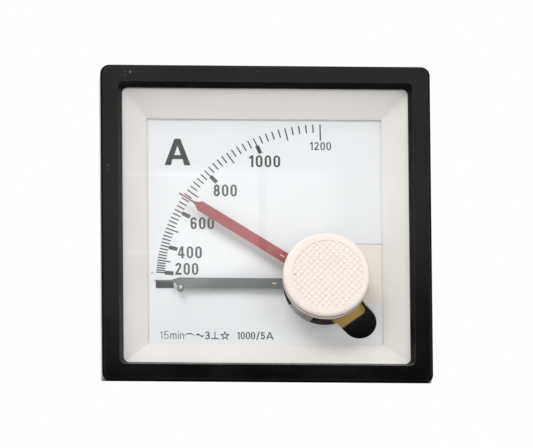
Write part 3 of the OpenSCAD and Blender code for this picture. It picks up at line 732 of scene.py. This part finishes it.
class Glyphs:
    """Outlines of condensed characters, one unit high, as loops of points."""

    def __init__(self, stroke: float) -> None:
        """Keeps the width of the strokes, as a share of the height."""
        self.stroke = stroke

    @staticmethod
    def arc(middle: Pair, reach: Pair, start: float, end: float, steps: int = 12) -> List[Pair]:
        """Points along a part of an ellipse.

        Args:
            middle: Its middle.
            reach: Its half width and half height.
            start: First angle, in degrees from straight right.
            end: Last angle.
            steps: Number of chords.

        Returns:
            The points.
        """
        turns = (math.radians(start + (end - start) * step / steps) for step in range(steps + 1))
        return [
            (middle[0] + reach[0] * math.cos(turn), middle[1] + reach[1] * math.sin(turn))
            for turn in turns
        ]

    def stadium(self, width: float, low: float, high: float) -> List[Pair]:
        """A long round loop with straight sides.

        Args:
            width: Its width, about the middle of a character.
            low: Its lower end.
            high: Its upper end.

        Returns:
            The loop.
        """
        half = width / 2
        cap = min(half * 1.25, (high - low) / 2)
        return (
            self.arc((0.26, high - cap), (half, cap), 0, 180)
            + self.arc((0.26, low + cap), (half, cap), 180, 360)
        )

    def shapes(self) -> Dict[str, Tuple[float, List[List[Pair]]]]:
        """Width and loops of every character."""
        s, arc, stadium = self.stroke, self.arc, self.stadium
        wide, mid = 0.52, 0.26
        lobe = (1 + s) / 4
        bar = 0.21 + s * 0.9
        foot, spread = s * 1.2, 0.962
        post, base = 0.335, 0.48
        star = [
            [
                (0.58 + math.cos(turn) * radius, 0.5 + math.sin(turn) * radius)
                for turn, radius in (
                    (math.radians(90 + 36 * tip), reach * (0.42 if tip % 2 else 1.0))
                    for tip in range(10)
                )
            ]
            for reach in (0.6, 0.6 - 2.4 * s)
        ]
        return {
            "0": (wide, [stadium(wide, 0, 1), stadium(wide - 2 * s, s * 0.85, 1 - s * 0.85)]),
            "1": (0.22 + s, [[
                (0.2, 0), (0.2 + s, 0), (0.2 + s, 1), (0.24, 1), (0.04, 0.83),
                (0.04, 0.83 - s), (0.2, 0.83 - s * 0.3),
            ]]),
            "2": (wide, [
                arc((mid, 0.73), (0.25, 0.27), 175, -25)
                + [(0.06 + s, s), (0.51, s), (0.51, 0), (0.01, 0), (0.01, s * 0.8)]
                + arc((mid, 0.73), (0.25 - s, 0.27 - s * 0.9), -25, 175)
            ]),
            "3": (wide, [
                arc((mid, 1 - lobe), (0.23, lobe), 165, -48)
                + arc((mid, lobe), (0.25, lobe), 48, -165)
                + arc((mid, lobe), (0.25 - s, lobe - s), -165, 85)
                + [(0.17, 2 * lobe - s), (0.17, 1 - 2 * lobe + s)]
                + arc((mid, 1 - lobe), (0.23 - s, lobe - s), -85, 165)
            ]),
            "4": (0.53, [
                [(0.44 - s, 0), (0.44, 0), (0.44, 0.21), (0.53, 0.21), (0.53, bar),
                 (0.44, bar), (0.44, 1), (0.44 - s * 1.1, 1), (0, 0.37), (0, 0.21),
                 (0.44 - s, 0.21)],
                [(s * 0.85, bar), (0.44 - s, bar), (0.44 - s, 0.8 - s * 0.4)],
            ]),
            "5": (wide, [
                [(0.48, 1), (0.48, 1 - s), (0.08 + s, 1 - s), (0.06 + s, 0.62)]
                + arc((0.25, 0.33), (0.26, 0.33), 100, -165)
                + arc((0.25, 0.33), (0.26 - s, 0.33 - s), -165, 130)
                + [(0.04 + s, 0.43), (0.03, 0.43), (0.06, 1)]
            ]),
            "6": (wide, [
                arc((mid, 0.73), (0.25, 0.27), 0, 180)
                + arc((mid, 0.3), (0.25, 0.3), 180, 360)
                + arc((mid, 0.36), (0.25, 0.26), 0, 110)
                + arc((mid, 0.73), (0.25 - s, 0.27 - s), 180, 0),
                arc((mid, 0.31), (0.25 - s, 0.32 - s), 0, 342, 18),
            ]),
            "8": (wide, [
                arc((mid, 1 - lobe), (0.235, lobe), -45, 225)
                + arc((mid, lobe), (0.26, lobe), 135, 405),
                arc((mid, 1 - lobe), (0.235 - s, lobe - s), 0, 342, 18),
                arc((mid, lobe), (0.26 - s, lobe - s), 0, 342, 18),
            ]),
            "A": (spread, [
                [(0, 0), (foot, 0), (foot + 0.05, 0.231), (0.912 - foot, 0.231),
                 (spread - foot, 0), (spread, 0), (0.481 + s * 0.55, 1),
                 (0.481 - s * 0.55, 1)],
                [(0.481, 1.08 - s * 1.75), (0.36 - 0.2 + s, 0.231 + s * 0.77),
                 (0.602 + 0.2 - s, 0.231 + s * 0.77)],
            ]),
            "m": (0.67, [[
                (0, 0), (0, 0.72), (s, 0.72), (s, 0.66), (0.2, 0.73), (0.3, 0.73),
                (0.37, 0.66), (0.47, 0.73), (0.58, 0.73), (0.67, 0.62), (0.67, 0),
                (0.67 - s, 0), (0.67 - s, 0.58), (0.54, 0.63), (0.48, 0.63),
                (post + s / 2, 0.56), (post + s / 2, 0), (post - s / 2, 0),
                (post - s / 2, 0.58), (0.25, 0.63), (0.2, 0.63), (s, 0.54), (s, 0),
            ]]),
            "n": (0.43, [[
                (0, 0), (0, 0.72), (s, 0.72), (s, 0.65), (0.2, 0.73), (0.32, 0.73),
                (0.43, 0.62), (0.43, 0), (0.43 - s, 0), (0.43 - s, 0.58), (0.29, 0.63),
                (0.2, 0.63), (s, 0.54), (s, 0),
            ]]),
            "i": (s, [
                [(0, low), (s, low), (s, high), (0, high)]
                for low, high in ((0, 0.72), (0.87, 1))
            ]),
            "/": (0.34 + s, [[(0, -0.08), (s, -0.08), (0.34 + s, 1.06), (0.34, 1.06)]]),
            "~": (0.93, [
                arc((0.24, 0.4), (0.24, 0.2), 170, 40, 8)
                + arc((0.68, 0.62), (0.25, 0.2), 220, 350, 8)
                + arc((0.68, 0.62), (0.25, 0.2 + s), 350, 220, 8)
                + arc((0.24, 0.4), (0.24, 0.2 - s), 40, 170, 8)
            ]),
            "(": (1.1, [
                arc((0.55, 0.1), (0.55, 0.5), 155, 25, 10)
                + arc((0.55, 0.1), (0.55, 0.5 - s * 1.4), 25, 155, 10)
            ]),
            "|": (2 * base, [[
                (0, 0), (2 * base, 0), (2 * base, s), (base + s / 2, s),
                (base + s / 2, 0.95), (base - s / 2, 0.95), (base - s / 2, s), (0, s),
            ]]),
            "*": (1.16, star),
        }

    def word(self, text: str, gap: float) -> List[List[Pair]]:
        """The loops of a word, its characters side by side.

        Args:
            text: The word.
            gap: Space between two characters, as a share of the height.

        Returns:
            The loops.
        """
        placed: List[List[Pair]] = []
        shapes = self.shapes()
        pen = 0.0
        for sign in text:
            width, loops = shapes[sign]
            placed += [[(x + pen, z) for x, z in loop] for loop in loops]
            pen += width + gap
        return placed


# ---- sub-assemblies


@dataclass
class Assembly:
    """A group of pieces that belong together."""

    layout: Layout
    rack: PaintRack

    def dress(self, paint: Paint, *nodes: str) -> None:
        """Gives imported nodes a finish.

        Args:
            paint: The finish.
            nodes: The nodes' names.
        """
        for name in nodes:
            self.rack.coat(frame["nodes"][name], paint)
            log.info("node %s: %s", name, paint.value.name)

    def add(self, piece: Piece, body: str, paint: Paint) -> None:
        """Finishes a new piece and lets it ride on a body.

        Args:
            piece: The new piece.
            body: The body that it moves with.
            paint: Its finish.
        """
        self.rack.coat(piece, paint)
        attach(piece, body)
        paint.value.slot or paint.value.name
        log.info("piece %s: %d faces on %s", piece.name, len(piece.data.polygons), body)


@dataclass
class Housing(Assembly):
    """Bezel, window, inner frame, cover and case."""

    def build(self) -> None:
        """Dresses the nodes of the housing."""
        self.dress(Paint.BEZEL, "bezel")
        self.dress(Paint.WINDOW, "window")
        self.dress(Paint.FRAME, "inner_frame")
        self.dress(Paint.COVER, "corner_cover")
        self.dress(Paint.CASE, "case")


@dataclass(frozen=True)
class Label:
    """Words, digits or signs printed on the dial, in millimetres."""

    name: str
    body: str
    middle: Pair
    height: float
    width: float
    stroke: float = 0.165
    gap: float = 0.17
    paint: Paint = Paint.PRINT


@dataclass
class DialFace(Assembly):
    """Dial plate with its printed scale, numbers and signs."""

    sweep: float = 89.0
    law: float = 1.68
    full_scale: float = 1200.0
    number_height: float = 2.7
    print_t: float = 0.04
    dot_r: float = 0.14
    dot_place: Pair = (-24.67, -9.43)
    row_z: float = -23.58
    row_height: float = 1.75

    @property
    def print_middle(self) -> float:
        """Depth of the middle of the print, in metres."""
        return self.layout.dial_front - self.print_t / 2 * MM

    def reading_angle(self, reading: float) -> float:
        """Angle of a reading on the scale, in degrees."""
        return self.sweep * (reading / self.full_scale) ** self.law

    def number_place(self, reading: float, radius: float, lift: float = 0.0) -> Pair:
        """Middle of a number, in millimetres, on the radius of its reading."""
        spot = self.layout.at_angle(self.reading_angle(reading) + lift, radius * MM)
        return (spot[0] / MM, spot[1] / MM)

    def labels(self) -> List[Label]:
        """Every word, number and sign of the dial."""
        tall, row, low = self.number_height, self.row_z, self.row_height
        grey = Paint.PALE_PRINT
        return [
            Label("number_200", "200", self.number_place(200, 30.2, 2.4), tall, 5.0),
            Label("number_400", "400", self.number_place(400, 30.2), tall, 5.2),
            Label("number_600", "600", self.number_place(600, 30.0), tall, 5.1),
            Label("number_800", "800", self.number_place(800, 30.4), tall, 5.1),
            Label("number_1000", "1000", self.number_place(1000, 31.0, 0.1), tall, 6.75),
            Label("number_1200", "1200", self.number_place(1200, 31.8), 1.83, 4.55, 0.14),
            Label("unit_letter", "A", (-18.94, 18.15), 6.03, 5.67, 0.197),
            Label("row_minutes", "15min", (-20.4, row), low, 5.2, 0.08, 0.16, grey),
            Label("row_bow", "(", (-16.6, row + 0.15), 0.72, 2.2, 0.08),
            Label("row_wave", "~", (-14.3, row), 0.78, 1.8, 0.13),
            Label("row_class", "3", (-12.7, row), low, 1.05, 0.13),
            Label("row_upright", "|", (-11.05, row), low * 0.95, 1.7, 0.12),
            Label("row_star", "*", (-8.9, row + 0.05), 2.1, 2.2, 0.115),
            Label("row_ratio", "1000/5A", (-2.25, row), low * 1.08, 7.9, 0.14, 0.14),
        ]

    def write(self, label: Label) -> Piece:
        """Makes one label as thin print on the dial.

        Args:
            label: What is written, and where.

        Returns:
            The printed piece.
        """
        loops = Glyphs(label.stroke).word(label.body, label.gap)
        flat = bpy.data.curves.new(label.name, "CURVE")
        flat.dimensions = "2D"
        flat.fill_mode = "BOTH"
        flat.extrude = self.print_t / 2
        for loop in loops:
            spline = flat.splines.new("POLY")
            spline.points.add(len(loop) - 1)
            for point, (across, up) in zip(spline.points, loop):
                point.co = (across, up, 0, 1)
            spline.use_cyclic_u = True
        drawn = bpy.data.objects.new(label.name, flat)
        bpy.context.collection.objects.link(drawn)
        pick(drawn)
        bpy.ops.object.convert(target="MESH")
        piece = bpy.context.active_object
        places = [vertex.co for vertex in piece.data.vertices]
        low = Vector([min(place[k] for place in places) for k in range(3)])
        high = Vector([max(place[k] for place in places) for k in range(3)])
        middle, size = (low + high) / 2, high - low
        edit(piece)
        bpy.ops.transform.translate(value=-middle)
        bpy.ops.transform.resize(value=(
            label.width * MM / size.x, label.height * MM / size.y, MM))
        bpy.ops.mesh.remove_doubles(threshold=WELD)
        done()
        piece.rotation_euler = (math.pi / 2, 0, 0)
        piece.location = (label.middle[0] * MM, self.print_middle, label.middle[1] * MM)
        return settle(label.name)

    def dot(self) -> Piece:
        """The printed dot beside the first number, at the foot of the scale."""
        across, up = self.dot_place
        bpy.ops.mesh.primitive_cylinder_add(
            vertices=16, radius=self.dot_r * MM, depth=self.print_t * MM,
            location=(across * MM, self.print_middle, up * MM), rotation=(math.pi / 2, 0, 0),
        )
        return settle("scale_dot")

    def build(self) -> None:
        """Prints the dial and dresses its nodes."""
        self.dress(Paint.DIAL, "dial_plate")
        self.dress(Paint.PRINT, "scale_marks")
        for label in self.labels():
            self.add(self.write(label), "housing", label.paint)
        self.add(self.dot(), "housing", Paint.PRINT)


@dataclass
class ResetKnob(Assembly):
    """Round knob with a diamond pattern on its face and a fine knurl on its skirt."""

    edge: float = 0.8
    disc_r: float = 7.8
    disc_shift: Pair = (0.37, -0.1)
    groove_depth: float = 1.1
    groove_in: float = 0.5
    groove_half: float = 0.26
    rim_steps: int = 8
    foot_chamfer: float = 0.12
    skirt_wall: float = 1.5
    hollow: float = 1.6
    boss_r: float = 3.6
    bore_r: float = 2.05
    bore: float = 1.0
    ridges: int = 150
    ridge_depth: float = 0.25
    diamond_pitch: float = 1.03
    diamond_turn: float = 47.2
    diamond_corner: float = 0.24
    diamond_steps: Tuple[Pair, ...] = ((0.14, 0.14), (0.12, 0.05))

    @property
    def diamond_height(self) -> float:
        """Height of the diamonds, in millimetres."""
        return sum(rise for _, rise in self.diamond_steps)

    @property
    def disc_centre(self) -> Pair:
        """Middle of the patterned face, which is moulded a little off the axis."""
        return (
            self.layout.pivot[0] + self.disc_shift[0] * MM,
            self.layout.pivot[1] + self.disc_shift[1] * MM,
        )

    def shell(self) -> Piece:
        """Turns the knob's body: flat face, rounded rim, groove and skirt."""
        outer = self.layout.knob_r / MM
        front = self.layout.knob_front / MM
        back = self.layout.knob_back / MM
        groove = front + self.groove_depth
        waist, inner = outer - self.groove_in, outer - self.skirt_wall
        profile: List[Pair] = [(self.disc_r * 0.5, front)]
        for step in range(self.rim_steps + 1):
            turn = math.pi / 2 * step / self.rim_steps
            profile.append((
                outer - self.edge + self.edge * math.sin(turn),
                front + self.edge * (1 - math.cos(turn)),
            ))
        profile += [
            (outer, groove - self.groove_half), (waist, groove - self.groove_half),
            (waist, groove + self.groove_half), (outer, groove + self.groove_half),
            (outer, back - self.foot_chamfer), (outer - self.foot_chamfer, back),
            (inner, back), (inner, back - self.hollow),
            (self.boss_r, back - self.hollow), (self.boss_r, back),
            (self.bore_r, back), (self.bore_r, back - self.bore),
        ]
        return turned(
            "reset_knob_turned", self.layout.pivot,
            [(radius * MM, depth * MM) for radius, depth in profile], 2 * self.ridges,
        )

    def disc(self, name: str, radius: float, depth: float) -> Piece:
        """Makes a round tool that stands on the patterned face.

        Args:
            name: The tool's name.
            radius: Its radius, in millimetres.
            depth: How far it reaches behind the front, in millimetres.
        """
        front = self.layout.knob_front
        return turned(
            name, self.disc_centre,
            [(radius * MM, front - MM), (radius * MM, front + depth * MM)], 160,
        )

    def knurl(self, piece: Piece) -> None:
        """Presses every second line of the skirt inwards."""
        centre_x, centre_z = self.layout.pivot
        low = self.layout.knob_front + (self.groove_depth + self.groove_half * 1.5) * MM
        step = math.pi / self.ridges

        def pressed(place: Vector) -> bool:
            """Says whether a vertex lies in a valley of the knurl."""
            across, up = place.x - centre_x, place.z - centre_z
            on_skirt = math.hypot(across, up) >= self.layout.knob_r - 0.2 * MM
            valley = round(math.atan2(up, across) / step) % 2 == 0
            return place.y >= low - 0.06 * MM and on_skirt and valley

        select_vertices(piece, pressed)
        ratio = 1 - self.ridge_depth * MM / self.layout.knob_r
        bpy.ops.transform.resize(
            value=(ratio, 1, ratio), center_override=(centre_x, 0, centre_z)
        )
        done()

    def diamonds(self) -> Piece:
        """Cuts a sheet of small diamonds to the round face."""
        centre_x, centre_z = self.disc_centre
        count = 2 * math.ceil(self.disc_r / self.diamond_pitch) + 6
        side = count * self.diamond_pitch * MM
        top = self.layout.knob_front + self.diamond_height * MM
        bpy.ops.mesh.primitive_grid_add(
            x_subdivisions=count, y_subdivisions=count, size=side,
            location=(centre_x, top, centre_z), rotation=(math.pi / 2, 0, 0),
        )
        piece = settle("knob_diamonds")
        edit(piece)
        bpy.ops.transform.rotate(
            value=math.radians(self.diamond_turn), orient_axis="Y",
            center_override=(centre_x, top, centre_z),
        )
        bpy.ops.mesh.bevel(affect="VERTICES", offset=self.diamond_corner * MM, segments=1)
        bpy.ops.mesh.select_all(action="DESELECT")
        bpy.ops.mesh.select_mode(type="FACE")
        bpy.ops.mesh.select_face_by_sides(number=8)
        for thickness, rise in self.diamond_steps:
            bpy.ops.mesh.inset(
                thickness=thickness * MM, depth=rise * MM,
                use_individual=True, use_boundary=True,
            )
        done()
        edit(piece, select_all=False)
        bpy.ops.mesh.select_mode(type="EDGE")
        bpy.ops.mesh.select_non_manifold()
        bpy.ops.mesh.extrude_region_move(TRANSFORM_OT_translate={"value": (0, 0.4 * MM, 0)})
        bpy.ops.mesh.edge_face_add()
        done()
        face_outwards(piece)
        combine(piece, self.disc("diamond_cutter", self.disc_r + 0.02, 2.0), "INTERSECT")
        return piece

    def build(self) -> None:
        """Makes the knob and dresses what turns with it."""
        knob = self.shell()
        self.knurl(knob)
        recess = self.disc("recess_cutter", self.disc_r, self.diamond_height + 0.05)
        combine(knob, recess, "DIFFERENCE")
        combine(knob, self.diamonds(), "UNION")
        face_outwards(knob, 0.001 * MM)
        smooth(knob, 30)
        self.add(knob, "reset_knob", Paint.KNOB)
        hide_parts("reset_knob")
        self.dress(Paint.KNOB, "reset_knob")
        self.dress(Paint.BRASS, "knob_spindle", "hub_retainer")
        self.dress(Paint.STEEL, "knob_spring_washer", "retaining_clip")
        self.dress(Paint.DARK, "driver_arm")


@dataclass
class Pointers(Assembly):
    """Grey main pointer and red drag pointer with their hubs, pins and sight slots, each slot
    filled with a painted glint.
    """

    sight_at: float = 11.0
    sight_size: Pair = (0.94, 0.24)

    def sight(self, node: str) -> Piece:
        """Fills the small slot of a pointer with a bright gilt strip, a painted glint.

        Args:
            node: The pointer's node.

        Returns:
            The strip.
        """
        low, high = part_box(node)
        across = self.layout.pivot[0] - low.x
        up = high.z - self.layout.pivot[1]
        angle = math.degrees(math.atan2(up, across)) if up > 0.1 * across else 0.0
        spot = self.layout.at_angle(angle, self.sight_at * MM)
        bpy.ops.mesh.primitive_cube_add(
            size=1, location=(spot[0], (low.y + high.y) / 2, spot[1]),
            rotation=(0, math.radians(angle), 0),
        )
        length, width = self.sight_size
        return settle(node + "_glint_strip", (length * MM, (high.y - low.y) * 0.9, width * MM))

    def build(self) -> None:
        """Dresses both pointers and fills their sight slots with painted glints."""
        for node in ("max_pointer", "main_pointer"):
            self.add(self.sight(node), frame["nodes"][node]["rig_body"], Paint.GILT)
        self.dress(Paint.RED, "max_pointer")
        self.dress(Paint.BRASS, "max_hub", "main_hub", "balance_weights")
        self.dress(Paint.STEEL, "max_catch", "drag_washer")
        self.dress(Paint.GREY, "main_pointer")
        self.dress(Paint.NICKEL, "drive_pin")


@dataclass
class Movement(Assembly):
    """Shaft, spirals, bridge, lever, shield and the plate that carries them."""

    def build(self) -> None:
        """Dresses the movement."""
        self.dress(Paint.STEEL, "shaft", "bridge_screws", "shield_spacers")
        self.dress(
            Paint.BRASS, "spiral_collets", "bridge", "front_bush", "zero_post",
            "bridge_pillars", "current_post", "rear_bearing", "rear_lock_nut",
        )
        self.dress(Paint.ZINC, "zero_lever", "plate_screws")
        # The heat shield carries painted shade: near black, for the unlit inside behind the
        # slot.
        self.dress(Paint.SHIELD, "heat_shield")
        self.dress(Paint.BIMETAL, "compensating_spiral", "measuring_spiral")
        self.dress(Paint.PHENOLIC, "movement_plate")
        self.dress(Paint.COPPER, "current_leads")


@dataclass
class Terminals(Assembly):
    """Studs, nuts and washers on the back."""

    thread_pitch: float = 0.8
    thread_crest: float = 2.2
    thread_root: float = 1.8
    thread_half: float = 0.37
    thread_start: float = 0.3
    thread_sunk: float = 0.15
    thread_runout: float = 1.2
    chamfer: float = 0.35
    thread_steps: int = 32

    def ridge(self, name: str, turns: int) -> Piece:
        """Winds the ridge of a thread about the depth axis from a three-sided profile.

        Args:
            name: The piece's name.
            turns: Number of turns.

        Returns:
            The ridge, closed at both ends.
        """
        bpy.ops.mesh.primitive_circle_add(
            vertices=3, radius=MM, location=(0, 0, 0), rotation=(0, 0, -math.pi / 2)
        )
        piece = settle(name)
        foot = self.thread_root - self.thread_sunk
        edit(piece)
        bpy.ops.transform.resize(
            value=((self.thread_crest - foot) / 1.5, self.thread_half * 2 / math.sqrt(3), 1),
            center_override=(MM, 0, 0),
        )
        bpy.ops.transform.translate(value=((self.thread_crest - 1) * MM, 0, 0))
        done()
        apply_modifier(
            piece, "SCREW", axis="Y", angle=math.tau, screw_offset=self.thread_pitch * MM,
            iterations=turns, steps=self.thread_steps, render_steps=self.thread_steps,
        )
        edit(piece)
        bpy.ops.mesh.remove_doubles(threshold=WELD)
        bpy.ops.mesh.fill_holes(sides=3)
        bpy.ops.mesh.select_all(action="SELECT")
        bpy.ops.mesh.normals_make_consistent(inside=False)
        done()
        return piece

    def end(self, name: str, across: float, front: float, back: float) -> Piece:
        """Makes one threaded end: a core with the ridge wound on it.

        Args:
            name: The piece's name.
            across: X of the stud's axis.
            front: Depth where the thread starts, inside its nut.
            back: Depth of the stud's end.
        """
        root = self.thread_root * MM
        chamfer = self.chamfer * MM
        piece = turned(
            name, (across, 0.0),
            [(root, front), (root, back - chamfer), (root - chamfer, back)], 48,
        )
        turns = int((back - front - self.thread_runout * MM) / (self.thread_pitch * MM))
        ridge = self.ridge(name + "_ridge", turns)
        edit(ridge)
        bpy.ops.transform.translate(value=(across, front + self.thread_half * MM, 0))
        done()
        combine(piece, ridge, "UNION")
        return piece

    def studs(self) -> Piece:
        """Copies the studs and gives their free ends a thread."""
        shoulder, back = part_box("terminal_nuts")[1].y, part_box("terminal_studs")[1].y
        low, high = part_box("terminal_washers")
        axis = high.x - (high.z - low.z) / 2
        source = frame["nodes"]["terminal_studs"]
        piece = source.copy()
        piece.data = source.data.copy()
        piece.name = piece.data.name = "threaded_studs"
        bpy.context.collection.objects.link(piece)
        face_outwards(piece)
        cut, past = shoulder - self.thread_start * MM, back + MM
        bpy.ops.mesh.primitive_cube_add(size=1, location=(0, (cut + past) / 2, 0))
        cutter = settle("stud_cutter", (4 * axis, past - cut, axis))
        combine(piece, cutter, "DIFFERENCE")
        ends = [self.end("stud_end", side * axis, cut, back) for side in (-1, 1)]
        pick(piece)
        for end in ends:
            end.select_set(True)
        bpy.ops.object.join()
        return piece

    def build(self) -> None:
        """Makes the threads and dresses the terminals."""
        studs = self.studs()
        smooth(studs, 30)
        self.add(studs, "housing", Paint.BRASS)
        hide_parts("terminal_studs")
        self.dress(Paint.BRASS, "terminal_studs", "terminal_nuts", "terminal_washers")
        self.dress(Paint.ZINC, "spring_washers")


# ---- studio


@dataclass
class Studio:
    """Camera, lamps, floor and background."""

    layout: Layout
    azimuth: float = -3.2
    elevation: float = -17.0
    roll: float = -0.5
    distance: float = 4.0
    lens: float = 1241.5
    aim_drop: float = 0.24
    floor_gap: float = 0.02
    floor_reach: float = 1.5
    soft_light: float = 0.53
    room_gap: float = 0.25
    room_size: float = 0.34
    room_aim: Pair = (0.0559, 0.3062)
    room_light: float = 0.55
    box_light: float = 1.1

    def camera(self) -> None:
        """Stands the camera a little below the meter and to its left."""
        turn, rise = math.radians(self.azimuth), math.radians(self.elevation)
        back = Vector((
            math.sin(turn) * math.cos(rise), -math.cos(turn) * math.cos(rise), math.sin(rise)
        ))
        target = Vector((0, self.layout.bezel_front, -self.aim_drop * MM))
        bpy.ops.object.camera_add(location=target + back * self.distance)
        camera = bpy.context.active_object
        camera.rotation_mode = "QUATERNION"
        aim = (-back).to_track_quat("-Z", "Y")
        camera.rotation_quaternion = aim @ Quaternion((0, 0, 1), math.radians(self.roll))
        camera.data.lens = self.lens
        camera.data.clip_end = 20
        bpy.context.scene.camera = camera

    def floor(self) -> None:
        """Lays the floor: plain above, and no more than the background below."""
        level = -self.layout.bezel_half - self.floor_gap * MM
        split = self.layout.bezel_front + 0.5 * MM
        reach = self.floor_reach
        for name, low, high, hides in (
            ("floor_behind", split, reach, True), ("floor_before", -reach, split, False)
        ):
            bpy.ops.mesh.primitive_plane_add(size=1, location=(0, (low + high) / 2, level))
            plane = settle(name, (2 * reach, high - low, 1))
            plane.data.materials.append(self.floor_material(name, hides))

    def floor_material(self, name: str, hides: bool) -> Material:
        """Builds the floor's material.

        Args:
            name: The material's name.
            hides: Whether the underside hides what is above it.

        Returns:
            The material.
        """
        material, wiring, shader = fresh_material(name)
        wiring.fill(shader.inputs, {
            "Base Color": linear((238, 238, 238)), "Roughness": 0.9,
        })
        below = wiring.node("Emission" if hides else "BsdfTransparent")
        if hides:
            wiring.fill(below.inputs, {"Strength": 1.0})
        mix = wiring.node("MixShader", {
            "Fac": wiring.node("NewGeometry").outputs["Backfacing"],
            1: shader.outputs["BSDF"],
            2: below.outputs[0],
        })
        wiring.surface(mix.outputs["Shader"])
        return material

    def background(self) -> None:
        """Makes the background white, and the rest of the room a soft grey."""
        world = bpy.data.worlds.new("studio_world")
        bpy.context.scene.world = world
        world.use_nodes = True
        wiring = Wiring(world.node_tree)
        wiring.tree.nodes.clear()
        rays = wiring.node("LightPath").outputs
        seen = wiring.maths("MAXIMUM", rays["Is Camera Ray"], rays["Is Glossy Ray"])
        seen = wiring.maths("MAXIMUM", seen, rays["Is Transmission Ray"])
        soft, white = (
            wiring.node("Background", {"Color": (1, 1, 1, 1), "Strength": strength})
            for strength in (self.soft_light, 1.0)
        )
        mix = wiring.node("MixShader", {
            "Fac": seen, 1: soft.outputs["Background"], 2: white.outputs["Background"],
        })
        wiring.node("OutputWorld", {"Surface": mix.outputs["Shader"]})

    def lamp(self, name: str, place: Triple, size: float, power: float) -> None:
        """Adds a square soft lamp that shines on the meter.

        Args:
            name: The lamp's name.
            place: Where it stands, in metres.
            size: Its side, in metres.
            power: Its power, in watts.
        """
        bpy.ops.object.light_add(type="AREA", location=place)
        lamp = bpy.context.active_object
        lamp.name = name
        lamp.data.size = size
        lamp.data.energy = power
        lamp.rotation_mode = "QUATERNION"
        lamp.rotation_quaternion = (-Vector(place)).to_track_quat("-Z", "Y")

    def room_glow(self, wiring: Wiring, middle: Pair) -> Socket:
        """Draws the room that is mirrored: dim below, with one divided soft box.

        Args:
            wiring: The wiring of the backdrop's material.
            middle: X and Z of the backdrop's middle, in metres.

        Returns:
            How strongly each place glows.
        """
        place = wiring.place()
        across = wiring.maths("SUBTRACT", wiring.axis(place, "X"), middle[0])
        up = wiring.maths("SUBTRACT", wiring.axis(place, "Z"), middle[1])

        def above(slope: float) -> Socket:
            """Height above a line that leans by a slope."""
            return wiring.maths("SUBTRACT", up, wiring.product(across, slope))

        room = wiring.stretch(above(0.17), -34 * MM, -6 * MM, 0.0, self.room_light)
        tall = wiring.product(
            wiring.stretch(above(0.45), -10 * MM, -7 * MM),
            wiring.stretch(up, 11.5 * MM, 14 * MM, 1, 0),
        )
        box = wiring.product(wiring.band(across, (-28, -20), (12, 20)), tall, self.box_light)
        post = wiring.product(wiring.band(across, (-2.3, -1.6), (-0.4, 0.3)), 0.75)
        right = wiring.stretch(across, -1.0 * MM, 0.0, 1.0, 0.72)
        box = wiring.product(
            box, wiring.product(right, wiring.maths("SUBTRACT", 1.0, post))
        )
        near = wiring.stretch(across, -18 * MM, -12 * MM, 0.6, 0.0)
        for height in (11.4, -7.5):
            line = wiring.band(up, (height - 0.5, height - 0.3), (height + 0.3, height + 0.5))
            box = wiring.maths("ADD", box, wiring.product(line, near))
        return wiring.maths("ADD", room, box)

    def mirrored_room(self) -> None:
        """Hangs the backdrop that only mirrored rays see."""
        across, up = (share * self.room_gap for share in self.room_aim)
        bpy.ops.mesh.primitive_plane_add(
            size=self.room_size, location=(across, -self.room_gap, up),
            rotation=(math.pi / 2, 0, 0),
        )
        card = settle("mirrored_room")
        material, wiring, shader = fresh_material("mirrored_room")
        wiring.tree.nodes.remove(shader)
        glow = wiring.node("Emission", {"Strength": self.room_glow(wiring, (across, up))})
        wiring.surface(glow.outputs[0])
        card.data.materials.append(material)
        card.visible_camera = False
        card.visible_diffuse = False
        card.visible_shadow = False

    def build(self) -> None:
        """Sets up the whole studio."""
        self.camera()
        self.floor()
        self.background()
        self.mirrored_room()
        self.lamp("key_lamp", (-0.5, -1.2, 1.0), 0.9, 12.5)
        self.lamp("fill_lamp", (0.9, -1.3, 0.3), 0.9, 4.3)
        bpy.context.scene.view_settings.view_transform = "Standard"


def main() -> None:
    """Builds the meter's pieces and the studio round it."""
    logging.basicConfig(level=logging.INFO, format="%(message)s")
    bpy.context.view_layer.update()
    layout = Layout.measured()
    rack = PaintRack()
    Studio(layout).build()
    for assembly in (Housing, DialFace, ResetKnob, Pointers, Movement, Terminals):
        assembly(layout, rack).build()
        log.info("%s done", assembly.__name__)


if __name__ == "__main__":
    main()
